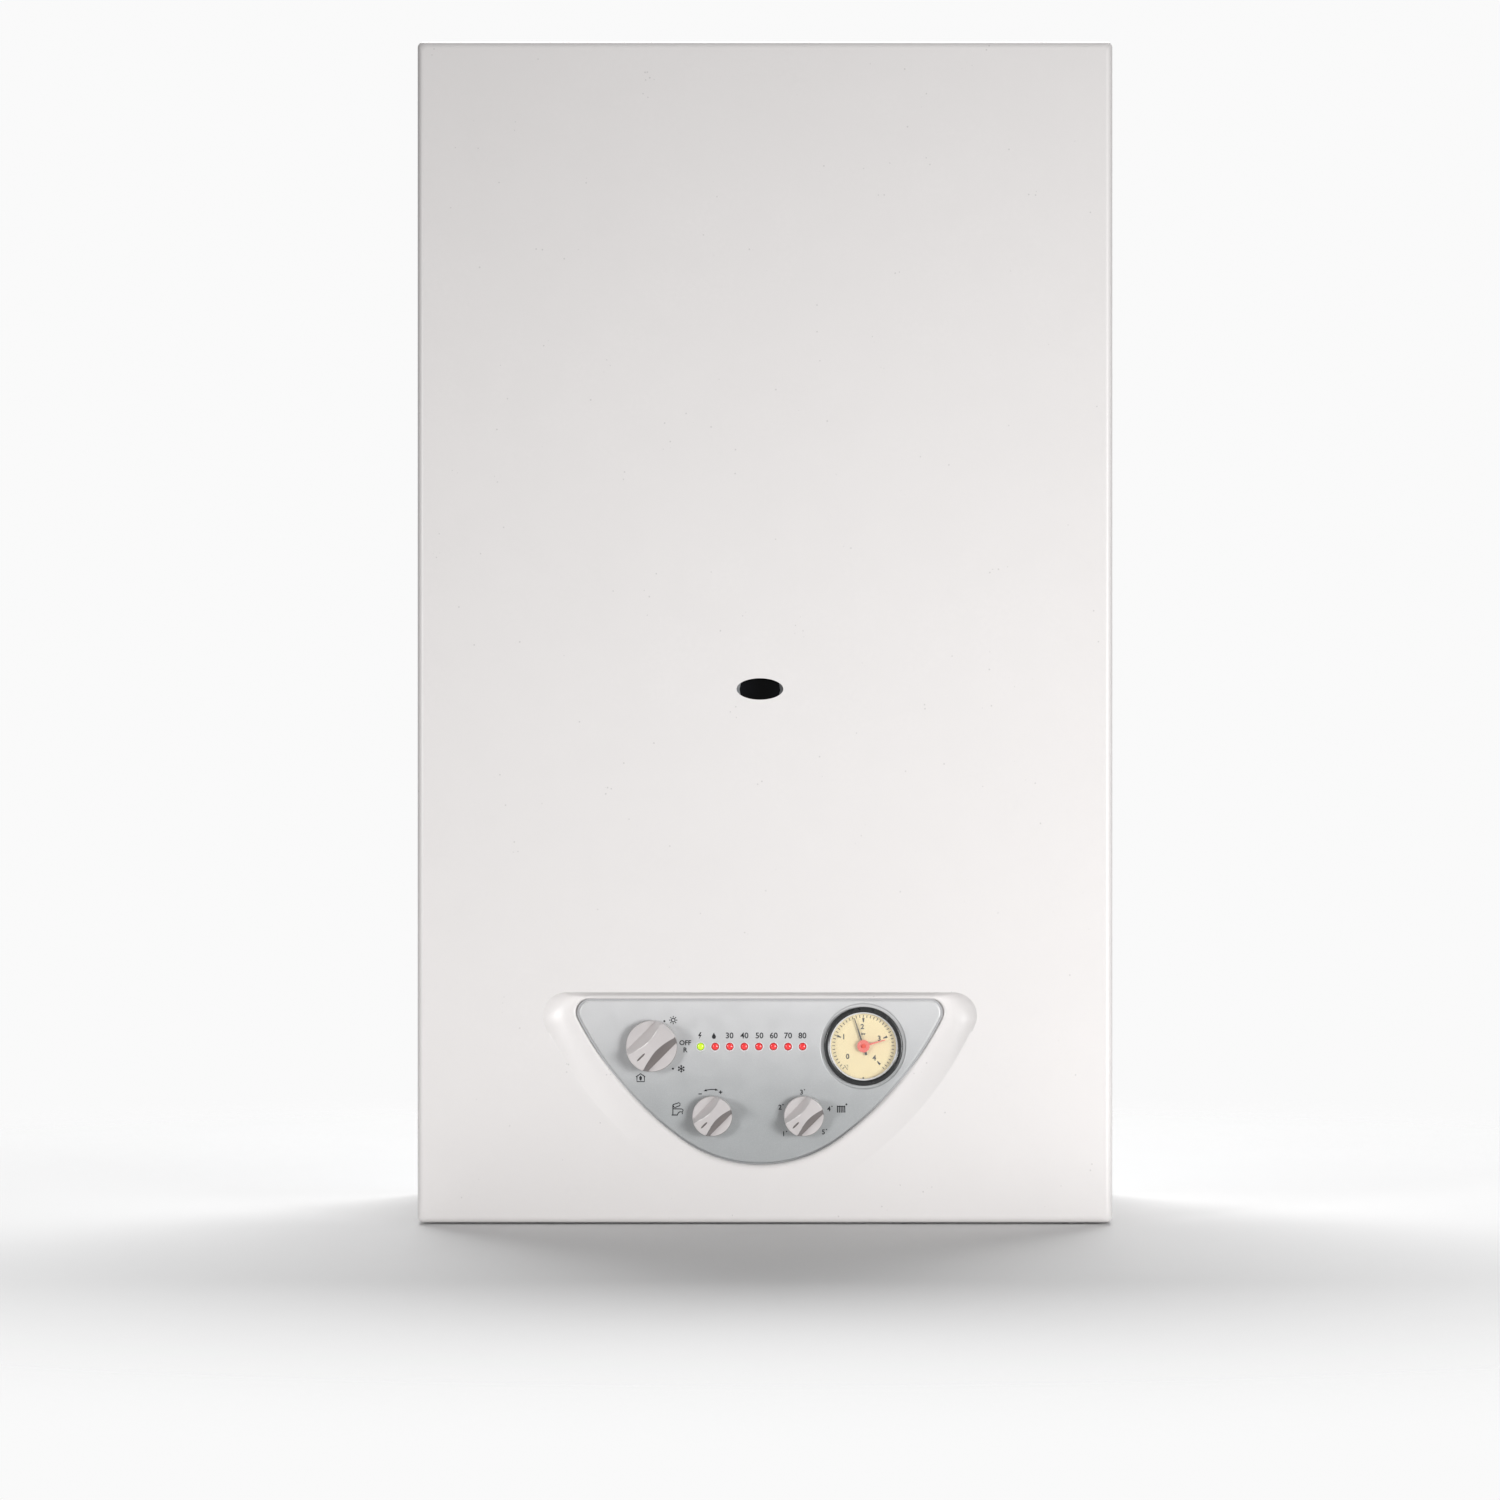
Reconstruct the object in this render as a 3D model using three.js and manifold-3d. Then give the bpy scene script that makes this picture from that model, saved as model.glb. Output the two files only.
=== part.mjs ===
// Wall-hung combi boiler, fan-flued and room-sealed, in millimetres.
// +Z is up, the wall is the plane y = 0 and the front faces -Y. The origin is on the wall, at the
// centre of the line of hanging slots. Inside each function heights are counted from the casing's
// lower edge, and the whole group is lowered by the height of the hanging line.
import * as THREE from 'three';
import { mergeVertices } from 'three/addons/utils/BufferGeometryUtils.js';
import Module from 'manifold-3d';

const wasm = await Module();
wasm.setup();

// ---------------------------------------------------------------- driving dimensions

// clearances
const seat = 0.3; // between a piece and what carries it
const spin = 0.3; // round a shaft in its bearing
const reveal = 1; // between the front cover and the panels behind it
const apertureGap = 0.6; // between the fascia and the cover's aperture

// casing
const caseWidth = 440;
const caseHeight = 748;
const caseDepth = 240;
const coverSheet = 1.2;
const coverSkirt = 38; // how far the cover reaches back from its face
const coverFold = 4.5; // outer radius of the folds round the face
const coverCorner = 3; // radius of the face's corners
const coverFlange = 14; // inward flange at the back of the cover's sides
const panelSheet = 1.2;
const frameSheet = 2;
const panelFlange = 15;
const studRadius = 3;
const studLength = 7;
const studFromEnd = 90; // height of the cover's studs above and below the casing's ends

// hanging line and back frame
const hangBelowTop = 60;
const hangSlotX = 120;
const hangSlotWidth = 40;
const hangSlotHeight = 10;
const railInset = 28; // from the casing's side to the outer wall of the upright rail
const railWidth = 18;
const railDepth = 62;
const railEnd = 8; // rail's ends, from the top panel and the bottom plate

// bottom plate and pipe connections
const plateHeight = 40; // recess of the bottom plate above the casing's lower edge
const plateFlange = 10;
const pipeFromWall = 75;
const pipePitch = 65;
const tailEndHeight = 12;
const tailNutHeight = 9.7;
const castingHeight = 62; // lower faces of the two hydraulic castings
const largeThread = 13.2; // radius of a 3/4 inch pipe thread
const smallThread = 10.5; // radius of a 1/2 inch pipe thread
const largeBore = 8.5;
const smallBore = 6.5;

// fascia, seen through the aperture: a straight top over a three-centred arch
const frontOffset = -3.2; // the front's features lie this far to the left of the casing's centre
const fasciaTop = 140.5;
const fasciaBottom = 37.3;
const archRadius = 84; // lowest arc
const archAngle = 36; // half angle of the lowest arc, in degrees
const flankRadius = 210; // side arcs
const fasciaCorner = 7.6;
const fasciaRecess = 5; // fascia's face behind the plane of the cover's face
const fasciaPlate = 2.5;
const fasciaRim = 10;
const fasciaWall = 2.2;
const fasciaEdge = 1.2; // rounding round the fascia's face

// pressed dish round the aperture
const dishDepth = 7;
const dishMargin = 22; // beyond the fascia, beside and below it
const dishTopMargin = 5.5;
const dishCorner = 15;
const dishWall = 17; // width of the dish's curved wall beside and below the aperture
const dishTopWall = 3.9; // and above it
const lipRadius = 3; // rolled edge of the aperture

// sight hole
const sightHeight = 337.9;
const sightWidth = 29.5;
const sightTall = 13.6;

// knobs, lamps and gauge, from the fascia's centre line
const selectorX = -68.5;
const selectorZ = 112;
const selectorRadius = 16.2;
const hotWaterX = -30.1;
const heatingX = 27.8;
const smallKnobZ = 67.7;
const smallKnobRadius = 12.65;
const knobTall = 14;
const knobStandoff = 1; // knob's back in front of the fascia
const knobWaist = 0.235; // half width of the bar's crest at its middle, as a share of the radius
const knobEnd = 0.44; // and at its ends
const knobFoot = 0.59; // from the axis to the foot of the bar's flanks, as a share of the radius
const knobStep = 0.45; // height of the scoops' floors, as a share of the knob's
const knobFall = 2.2; // how much lower the bar is at its pointer
const pointerStart = 0.36; // pointer groove along the bar, as shares of the radius
const pointerReach = 0.8;
const pointerWidth = 1.2;
const pointerFloor = 3; // depth of the groove below the bar's highest part
const spindleRadius = 3;
const lampX = -37.6;
const lampZ = 111.4;
const lampPitch = 9.23;
const lampCount = 8;
const lampRadius = 2.1;
const lampProud = 1;
const gaugeX = 65.6;
const gaugeZ = 111.6;
const bezelRadius = 25.05;
const bezelProud = 2.4;
const faceRadius = 21.2; // clear opening of the bezel
const gaugeDepth = 16;
const needleLength = 18.5;
const markerLength = 14.5;
const needleAngle = -18; // clockwise from upright
const markerAngle = 74;

// control box
const controlHalf = 135;
const controlBottom = 24;
const controlTop = 160;
const controlDepth = 65;
const controlWall = 2.5;
const controlPin = 3;
const boardSetback = 28; // board behind the control box's front
const boardInset = 29; // board's ends, from the control box's sides
const boardSheet = 1.6;

// sealed chamber
const chamberTopGap = 20;
const chamberBottom = 260;
const chamberFront = 206; // distance of its open front from the wall
const chamberSheet = 1.2;
const chamberFlange = 8;
const gasketThick = 3;
const lidSheet = 1.2;
const lidSwell = 5; // how far the lid's middle stands forward

// burner, heat exchanger and fan
const heartHalf = 98; // half width of the burner and the heat exchanger
const heartDepth = 98;
const heartFromWall = 135;
const burnerBelowSight = 16;
const bladeCount = 9;
const bladeWidth = 7;
const bladeTall = 20;
const burnerTray = 6;
const lining = 10;
const electrodeX = 40;
const electrodeRadius = 3.6;
const electrodeAboveBurner = 14;
const finCount = 5;
const finTall = 40;
const finThick = 1.6;
const waterTube = 8;
const hoodTall = 55.8; // flue hood's taper, from the heat exchanger up to the fan housing
const hoodDuct = 33; // depth of the flue hood's upright duct behind the fan
const fanBelowTop = 96; // fan's shaft below the sealed chamber's top
const fanAside = 45; // fan's shaft to the left of the flue
const fanWidth = 36;
const scrollStart = 47;
const scrollEnd = 66;
const fanWall = 1.5;
const fanEye = 26;
const impellerRadius = 41;
const impellerBlades = 9;
const bladeReach = 12; // radial depth of the impeller's blades
const motorRadius = 26;
const shaftRadius = 3;
const switchInset = 80; // air pressure switch, from the sealed chamber's right side
const flueRadius = 30;
const airRadius = 50;
const collarWall = 1.5;
const collarProud = 6;
const collarWebs = 3; // between the flue and the air pipe round it

// expansion vessel
const vesselGap = 4; // between the vessel's seam and the rails beside it
const vesselSeam = 4;
const vesselWall = 2;
const vesselThick = 52;
const vesselFromWall = 34;
const vesselRound = 20; // radius of the vessel's rounded edges
const vesselBelowTop = 253;
const vesselPortX = 20;

// water and gas sets
const pumpZ = 150;
const voluteRadius = 40;
const pumpRadius = 38;
const pumpLength = 60;
const pumpWall = 8;
const ventAside = 26; // air vent, to the right of the pump's shaft
const plateHalf = 85;
const plateTall = 71;
const plateCount = 3;
const riserRadius = 9;
const gasRadius = 7;

// ---------------------------------------------------------------- places that follow from them

const hangHeight = caseHeight - hangBelowTop;
const faceY = -caseDepth;
const coverBack = faceY + coverSkirt;
const panelFront = coverBack + reveal;
const insideHalf = caseWidth / 2 - panelSheet; // inner face of a side panel
const fasciaY = faceY + fasciaRecess;
const controlFront = fasciaY + fasciaRim;
const controlBack = controlFront + controlDepth;
const boardY = controlFront + boardSetback;
const spindleBack = boardY - 6;
const boardHalf = controlHalf - boardInset;
const boardBottom = controlBottom + 26;
const boardTop = controlTop - 10;
const railOuter = caseWidth / 2 - railInset;
const chamberHalf = railOuter - 2;
const vesselRadius = railOuter - railWidth - vesselGap - vesselSeam;
const chamberTop = caseHeight - chamberTopGap;
const chamberBack = -(frameSheet + railDepth + seat);
const heartY = -heartFromWall;
const burnerTop = sightHeight - burnerBelowSight;
const combustionBottom = burnerTop + 2;
const electrodeZ = burnerTop + electrodeAboveBurner;
const fanX = -fanAside;
const fanZ = chamberTop - fanBelowTop;
const throatZ = fanZ - scrollEnd; // top of the flue hood's taper
const exchangerTop = throatZ - hoodTall;
const exchangerBottom = exchangerTop - finTall;
const combustionTop = exchangerBottom - seat;
const fanBack = -(heartFromWall - heartDepth / 2 + hoodDuct); // fan housing's face against the flue hood
const fanFront = fanBack - fanWidth;
const flueY = (fanBack + fanFront) / 2;
const pipeY = -pipeFromWall;
const tailTop = castingHeight - seat;
const diverterTop = 165;
const outletTop = 200;
const riserTurn = 235; // height at which the water pipes turn forward under the sealed chamber
const gasTurn = 249;
const gasValveBottom = 165;
const gasValveTop = 235;
const gasValveY = -98;
const plateZ = 128;
const portX = 70;
const portRise = 22;

// ---------------------------------------------------------------- solids

const turn = Math.PI / 180;
const fullTurn = 360;

function isDegenerate(a, b, c) {
  return a === b || b === c || c === a;
}

// A closed solid from corners and faces, turned so that its faces point out.
function solidFrom(vertices, faces) {
  let volume = 0;
  const kept = [];
  for (let i = 0; i < faces.length; i += 3) {
    const [a, b, c] = [faces[i], faces[i + 1], faces[i + 2]];
    if (isDegenerate(a, b, c)) continue;
    const [ax, ay, az] = vertices.slice(3 * a, 3 * a + 3);
    const [bx, by, bz] = vertices.slice(3 * b, 3 * b + 3);
    const [cx, cy, cz] = vertices.slice(3 * c, 3 * c + 3);
    volume += ax * (by * cz - bz * cy) + ay * (bz * cx - bx * cz) + az * (bx * cy - by * cx);
    kept.push(a, b, c);
  }
  if (volume < 0) kept.reverse();
  return new wasm.Manifold(new wasm.Mesh({
    numProp: 3,
    vertProperties: Float32Array.from(vertices),
    triVerts: Uint32Array.from(kept),
  }));
}

function solidOf(geometry) {
  const bare = geometry.clone();
  bare.deleteAttribute('normal');
  bare.deleteAttribute('uv');
  const merged = mergeVertices(bare, 1e-4);
  return solidFrom(merged.attributes.position.array, merged.index.array);
}

function geometryOf(solid) {
  const mesh = solid.getMesh();
  const geometry = new THREE.BufferGeometry();
  geometry.setAttribute('position', new THREE.BufferAttribute(mesh.vertProperties, 3));
  geometry.setIndex(new THREE.BufferAttribute(mesh.triVerts, 1));
  geometry.computeVertexNormals();
  return geometry;
}

const join = (first, ...rest) => rest.reduce((whole, piece) => whole.add(piece), first);
const cut = (first, ...rest) => rest.reduce((whole, piece) => whole.subtract(piece), first);
const interval = (a, b) => [Math.min(a, b), Math.max(a, b)];

// The reach of a hole through a wall that starts at a place.
const piercing = (at, wall = 0) => [at - 5, at + wall + 5];

function box([x0, x1], [y0, y1], [z0, z1]) {
  const geometry = new THREE.BoxGeometry(x1 - x0, y1 - y0, z1 - z0);
  geometry.translate((x0 + x1) / 2, (y0 + y1) / 2, (z0 + z1) / 2);
  return solidOf(geometry);
}

// Turns a geometry that stands along Y so that it lies along x, y or z.
function alongAxis(geometry, axis) {
  if (axis === 'x') geometry.rotateZ(-Math.PI / 2);
  if (axis === 'z') geometry.rotateX(Math.PI / 2);
  return geometry;
}

// A profile of [radius, distance along the axis] turned about an axis through a point.
function revolve(axis, profile, at = [0, 0, 0], sides = 12) {
  const points = profile.map(([radius, along]) => new THREE.Vector2(radius, along));
  const geometry = alongAxis(new THREE.LatheGeometry(points, sides), axis);
  geometry.translate(...at);
  return solidOf(geometry);
}

function rod(axis, radius, [from, to], at = [0, 0, 0], sides = 8) {
  return revolve(axis, [[0, from], [radius, from], [radius, to], [0, to]], at, sides);
}

function tube(axis, inner, outer, [from, to], at = [0, 0, 0], sides = 16) {
  const profile = [[inner, from], [outer, from], [outer, to], [inner, to], [inner, from]];
  return revolve(axis, profile, at, sides);
}

// Triangles that fill a ring, wound as the ring is.
function capFaces(ring) {
  const normal = new THREE.Vector3();
  ring.forEach((point, i) => {
    const next = ring[(i + 1) % ring.length];
    normal.x += (point[1] - next[1]) * (point[2] + next[2]);
    normal.y += (point[2] - next[2]) * (point[0] + next[0]);
    normal.z += (point[0] - next[0]) * (point[1] + next[1]);
  });
  const size = [Math.abs(normal.x), Math.abs(normal.y), Math.abs(normal.z)];
  const dropped = size.indexOf(Math.max(...size));
  const flat = ring.map((point) => new THREE.Vector2(...point.filter((_, k) => k !== dropped)));
  const area = THREE.ShapeUtils.area(flat);
  return THREE.ShapeUtils.triangulateShape(flat, []).map((face) => {
    const faceArea = THREE.ShapeUtils.area(face.map((i) => flat[i]));
    return faceArea * area < 0 ? face.toReversed() : face;
  });
}

// A closed solid through rings of equally many [x, y, z] points.
function loft(rings) {
  const count = rings[0].length;
  const faces = [];
  for (let k = 0; k + 1 < rings.length; k += 1) {
    for (let i = 0; i < count; i += 1) {
      const a = k * count + i;
      const b = k * count + ((i + 1) % count);
      faces.push(a, b, a + count, b, b + count, a + count);
    }
  }
  const last = (rings.length - 1) * count;
  capFaces(rings[0]).forEach(([a, b, c]) => faces.push(c, b, a));
  capFaces(rings[rings.length - 1]).forEach(([a, b, c]) => faces.push(last + a, last + b, last + c));
  return solidFrom(rings.flat(2), faces);
}

// An outline of [x, z] points drawn out from front to back.
function slab(outline, [front, back]) {
  return loft([front, back].map((y) => outline.map(([x, z]) => [x, y, z])));
}

function arc([cx, cz], radius, from, to, steps) {
  return Array.from({ length: steps + 1 }, (_, i) => {
    const angle = (from + ((to - from) * i) / steps) * turn;
    return [cx + radius * Math.cos(angle), cz + radius * Math.sin(angle)];
  });
}

function roundedRect([x0, x1], [z0, z1], radius, steps = 2) {
  return [
    ...arc([x1 - radius, z0 + radius], radius, -90, 0, steps),
    ...arc([x1 - radius, z1 - radius], radius, 0, 90, steps),
    ...arc([x0 + radius, z1 - radius], radius, 90, 180, steps),
    ...arc([x0 + radius, z0 + radius], radius, 180, 270, steps),
  ];
}

function oval([cx, cz], width, tall, steps = 16) {
  return Array.from({ length: steps }, (_, i) => {
    const angle = (i * 2 * Math.PI) / steps;
    return [cx + (width / 2) * Math.cos(angle), cz + (tall / 2) * Math.sin(angle)];
  });
}

// A round bar along straight runs joined by bends.
function pipe(route, radius, bend, sides = 8) {
  const points = route.map((point) => new THREE.Vector3(...point));
  const path = [points[0]];
  for (let i = 1; i + 1 < points.length; i += 1) {
    const before = points[i - 1].clone().sub(points[i]).setLength(bend).add(points[i]);
    const after = points[i + 1].clone().sub(points[i]).setLength(bend).add(points[i]);
    const curve = new THREE.QuadraticBezierCurve3(before, points[i], after);
    path.push(...curve.getPoints(3));
  }
  path.push(points[points.length - 1]);
  const headings = path.map((point, i) => {
    const ahead = path[Math.min(i + 1, path.length - 1)];
    const behind = path[Math.max(i - 1, 0)];
    return ahead.clone().sub(behind).normalize();
  });
  const across = new THREE.Vector3(0.31, 0.22, 0.93).cross(headings[0]).normalize();
  const rings = path.map((point, i) => {
    across.sub(headings[i].clone().multiplyScalar(across.dot(headings[i]))).normalize();
    const up = headings[i].clone().cross(across);
    return Array.from({ length: sides }, (_, k) => {
      const angle = (k * 2 * Math.PI) / sides;
      const offset = across.clone().multiplyScalar(radius * Math.cos(angle));
      return point.clone().add(offset).addScaledVector(up, radius * Math.sin(angle)).toArray();
    });
  });
  return loft(rings);
}

// ---------------------------------------------------------------- finishes

const finishes = {
  coverPaint: [0xe3dfde, 0.38, 0],
  panelPaint: [0xdedbd9, 0.42, 0],
  zincSheet: [0xb4b8ba, 0.42, 0.85],
  aluminisedSheet: [0xa9adb0, 0.45, 0.85],
  silverPlastic: [0xbdbfc1, 0.45, 0.2],
  knobSilver: [0xc9c2c2, 0.35, 0.35],
  darkPlastic: [0x3a3b3d, 0.5, 0],
  blackPlastic: [0x1c1d1f, 0.5, 0],
  bezelGrey: [0x434241, 0.35, 0.2],
  creamPaint: [0xead8b2, 0.6, 0],
  needleBlack: [0x15171a, 0.5, 0],
  markerRed: [0xe8695a, 0.45, 0],
  lampRed: [0xe1363c, 0.3, 0],
  clearLens: [0xf4f6f6, 0.05, 0],
  sightLens: [0x9aa4a8, 0.08, 0],
  ceramicFibre: [0xe8e1d2, 0.95, 0],
  ceramicWhite: [0xf0ece2, 0.4, 0],
  steel: [0xc2c4c4, 0.35, 0.9],
  copper: [0xb87350, 0.35, 0.9],
  brass: [0xb99a58, 0.35, 0.9],
  castAluminium: [0xa6a8a8, 0.55, 0.8],
  vesselRed: [0xa7352b, 0.45, 0],
  rubberGrey: [0x3c3d3e, 0.85, 0],
  boardGreen: [0x2f6b45, 0.55, 0],
  valveRed: [0xb5312a, 0.45, 0],
  tapBlue: [0x2c4f8c, 0.45, 0],
};

const boiler = new THREE.Group();
boiler.position.z = -hangHeight;

// turned is clockwise as seen from the front, in degrees.
function add(name, finish, solid, position = [0, 0, 0], turned = 0) {
  const [color, roughness, metalness] = finishes[finish];
  const material = new THREE.MeshStandardMaterial({ color, roughness, metalness });
  const mesh = new THREE.Mesh(geometryOf(solid), material);
  mesh.name = name;
  mesh.position.set(...position);
  mesh.rotation.y = turned * turn;
  boiler.add(mesh);
}

// ---------------------------------------------------------------- fascia outline

// Corners of the half-moon, anticlockwise from its lowest point as seen from the front.
// grow moves the arcs outward, growTop raises the straight top.
function halfMoon(grow, growTop, corner) {
  const arch = archRadius + grow;
  const flank = flankRadius + grow;
  const top = fasciaTop + growTop;
  const archZ = fasciaBottom + archRadius;
  const shift = flankRadius - archRadius;
  const flankX = -shift * Math.sin(archAngle * turn);
  const flankZ = archZ + shift * Math.cos(archAngle * turn);
  const inner = flank - corner;
  const drop = top - corner - flankZ;
  const cornerX = flankX + Math.sqrt(inner * inner - drop * drop);
  const cornerAngle = Math.atan2(drop, cornerX - flankX) / turn;
  const right = [
    ...arc([0, archZ], arch, -90, archAngle - 90, 4).slice(0, -1),
    ...arc([flankX, flankZ], flank, archAngle - 90, cornerAngle, 4).slice(0, -1),
    ...arc([cornerX, top - corner], corner, cornerAngle, 90, 3),
  ];
  const left = right.slice(1).reverse().map(([x, z]) => [-x, z]);
  return [...right, ...left].map(([x, z]) => [x + frontOffset, z]);
}

// ---------------------------------------------------------------- front cover

const ease = (t) => t * t * (3 - 2 * t);

// Depth of the dish's floor at a height: full at its top, fading out at its foot.
function dishFloor(z) {
  const foot = fasciaBottom - dishMargin;
  const head = fasciaTop + dishTopMargin;
  return dishDepth * ease(THREE.MathUtils.clamp((z - foot) / (head - foot), 0, 1));
}

// The space in front of the pressing: dish, rolled lip and aperture.
// With a thickness it is the same form grown by the sheet, which backs the pressing.
function dishForm(thickness, start, reach, wallSteps, lipSteps) {
  const ring = (grow, growTop, share, extra) => {
    const corner = fasciaCorner + ((dishCorner - fasciaCorner) * grow) / dishMargin;
    const outline = halfMoon(grow + thickness, growTop + thickness, corner + thickness);
    return outline.map(([x, z]) => [x, faceY + dishFloor(z) * share + extra + thickness, z]);
  };
  const rings = [ring(dishMargin, dishTopMargin, 0, start - thickness)];
  for (let k = 0; k <= wallSteps; k += 1) {
    const t = k / wallSteps;
    const share = 1 - (1 - t) ** 2; // steepest at the dish's edge
    rings.push(ring(dishMargin - dishWall * t, dishTopMargin - dishTopWall * t, share, 0));
  }
  const topRoll = dishTopMargin - dishTopWall - apertureGap;
  for (let k = 0; k <= lipSteps; k += 1) {
    const angle = (k / lipSteps) * 90 * turn;
    const roll = 1 - Math.sin(angle);
    const grow = apertureGap + lipRadius * roll;
    const growTop = apertureGap + topRoll * 0.9 * roll;
    rings.push(ring(grow, growTop, 1, lipRadius * (1 - Math.cos(angle))));
  }
  rings.push(ring(apertureGap, apertureGap, 1, lipRadius + reach));
  return loft(rings);
}

// A pan open at the back, with rounded folds round its face.
function pan(inset, back) {
  const half = caseWidth / 2 - inset;
  const span = (shrink) => roundedRect(
    [-half + shrink, half - shrink],
    [inset + shrink, caseHeight - inset - shrink],
    Math.max(coverCorner - inset, 0.6) + (coverFold - inset - shrink) * 0.2, 2,
  );
  const fold = coverFold - inset;
  const steps = 3;
  const rings = [span(0).map(([x, z]) => [x, back, z])];
  for (let k = 0; k <= steps; k += 1) {
    const angle = (k / steps) * 90 * turn;
    const y = faceY + inset + fold * (1 - Math.sin(angle));
    rings.push(span(fold * (1 - Math.cos(angle))).map(([x, z]) => [x, y, z]));
  }
  return loft(rings);
}

function studHeights() {
  return [studFromEnd, caseHeight - studFromEnd];
}

const sightOval = () => oval([frontOffset, sightHeight], sightWidth, sightTall);

// Two strips welded behind the pressing's sides, with holes for the studs.
function coverFlanges() {
  const inner = caseWidth / 2 - coverSheet - 0.2;
  const ys = [coverBack - coverSheet, coverBack];
  const zs = [studFromEnd / 2, caseHeight - studFromEnd / 2];
  return [-1, 1].map((side) => {
    const strip = box(interval(side * inner, side * (inner - coverFlange)), ys, zs);
    const weld = box([side * inner - 0.6, side * inner + 0.6], ys, zs);
    const holes = studHeights().map((z) => rod(
      'y', studRadius + spin, piercing(coverBack), [side * studX(), 0, z],
    ));
    return cut(join(strip, weld), ...holes);
  });
}

function frontCover() {
  const shell = cut(pan(0, coverBack), pan(coverSheet, coverBack + 1));
  const backing = dishForm(coverSheet, coverSheet / 2, 0, 3, 1);
  const pressed = join(shell, backing, ...coverFlanges());
  return cut(pressed, dishForm(0, -5, 20, 4, 2), slab(sightOval(), piercing(faceY)));
}

// ---------------------------------------------------------------- casing behind the cover

function studX() {
  return caseWidth / 2 - panelSheet - panelFlange / 2;
}

function sidePanel(side) {
  const outer = caseWidth / 2;
  const across = (from, to) => interval(side * from, side * to);
  const wall = box(across(insideHalf, outer), [panelFront, 0], [0, caseHeight]);
  const frontEdge = box(
    across(outer - panelFlange, outer - panelSheet / 2), [panelFront, panelFront + panelSheet],
    [0, caseHeight - 3 * plateFlange],
  );
  const foot = box(
    across(outer - panelFlange, outer - panelSheet / 2), [panelFront, -frameSheet - seat], [0, panelSheet],
  );
  const studs = studHeights().map((z) => rod(
    'y', studRadius, [panelFront - studLength, panelFront + panelSheet / 2], [side * studX(), 0, z],
  ));
  return join(wall, frontEdge, foot, ...studs);
}

function topPanel() {
  const half = insideHalf - seat;
  const back = -frameSheet - seat;
  const sheet = box([-half, half], [panelFront, back], [caseHeight - panelSheet, caseHeight]);
  const fold = [caseHeight - plateFlange, caseHeight];
  const apron = box([-half, half], [panelFront, panelFront + panelSheet], fold);
  const sides = [-1, 1].map((side) => box(
    interval(side * half, side * (half - panelSheet)), [panelFront, back], fold,
  ));
  const flueHole = rod('z', airRadius + 1.5, piercing(caseHeight), [0, flueY, 0], 28);
  return cut(join(sheet, apron, ...sides), flueHole);
}

function pipeXs() {
  return [-2, -1, 0, 1, 2].map((step) => step * pipePitch);
}

const isSmallPipe = (index) => index === 1 || index === 3;
const fillingX = 1.5 * pipePitch;
const controlNotch = controlHalf + 2.2;
const pinZ = controlBottom + 9;
const pinY = controlBack - 12;

function bottomPlate() {
  const half = insideHalf - seat;
  const back = -frameSheet - seat;
  const floor = box([-half, half], [panelFront + 2, back], [plateHeight, plateHeight + panelSheet]);
  const sides = [-1, 1].map((side) => box(
    interval(side * half, side * (half - panelSheet)),
    [panelFront + 2, back], [plateHeight - plateFlange, plateHeight + panelSheet / 2],
  ));
  const notch = box(
    [frontOffset - controlNotch, frontOffset + controlNotch],
    [panelFront - 5, controlBack + 4], piercing(plateHeight),
  );
  const holes = pipeXs().map((x, i) => {
    const thread = isSmallPipe(i) ? smallThread : largeThread;
    return rod('z', thread + 2, piercing(plateHeight), [x, pipeY, 0]);
  });
  const fillingHole = rod('z', spindleRadius + 3, piercing(plateHeight), [fillingX, pipeY, 0]);
  const ears = [-1, 1].map((side) => {
    const near = frontOffset + side * (controlNotch + 0.3);
    const sheet = interval(near, near + side * panelSheet);
    const ear = box(sheet, [pinY - 9, pinY + 9], [pinZ - 8, plateHeight + panelSheet / 2]);
    return cut(ear, rod('x', controlPin + spin, piercing(sheet[0], panelSheet), [0, pinY, pinZ]));
  });
  return join(cut(join(floor, ...sides), notch, ...holes, fillingHole), ...ears);
}

function backFrame() {
  const half = insideHalf - seat;
  const plate = box([-half, half], [-frameSheet, 0], [0, caseHeight]);
  const rims = [-1, 1].map((side) => box(
    interval(side * half, side * (half - frameSheet)),
    [-20, 0], [plateHeight + plateFlange, caseHeight - 2 * plateFlange],
  ));
  const railFront = -frameSheet - railDepth;
  const zs = [plateHeight + panelSheet + railEnd, caseHeight - panelSheet - railEnd];
  const rails = [-1, 1].map((side) => {
    const outer = side * railOuter;
    const inner = side * (railOuter - railWidth);
    const hollow = interval(side * (railOuter - frameSheet), side * (railOuter - railWidth + frameSheet));
    const bar = box(interval(outer, inner), [railFront, -frameSheet / 2], zs);
    const space = box(hollow, [railFront + frameSheet, -frameSheet], [zs[0] - 1, zs[1] + 1]);
    return cut(bar, space);
  });
  const slots = [-1, 1].map((side) => slab(
    roundedRect(
      [side * hangSlotX - hangSlotWidth / 2, side * hangSlotX + hangSlotWidth / 2],
      [hangHeight - hangSlotHeight / 2, hangHeight + hangSlotHeight / 2], hangSlotHeight / 2 - 0.1,
    ), [-frameSheet - 2, 2],
  ));
  return cut(join(plate, ...rims, ...rails), ...slots);
}

// ---------------------------------------------------------------- fascia and controls

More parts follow.
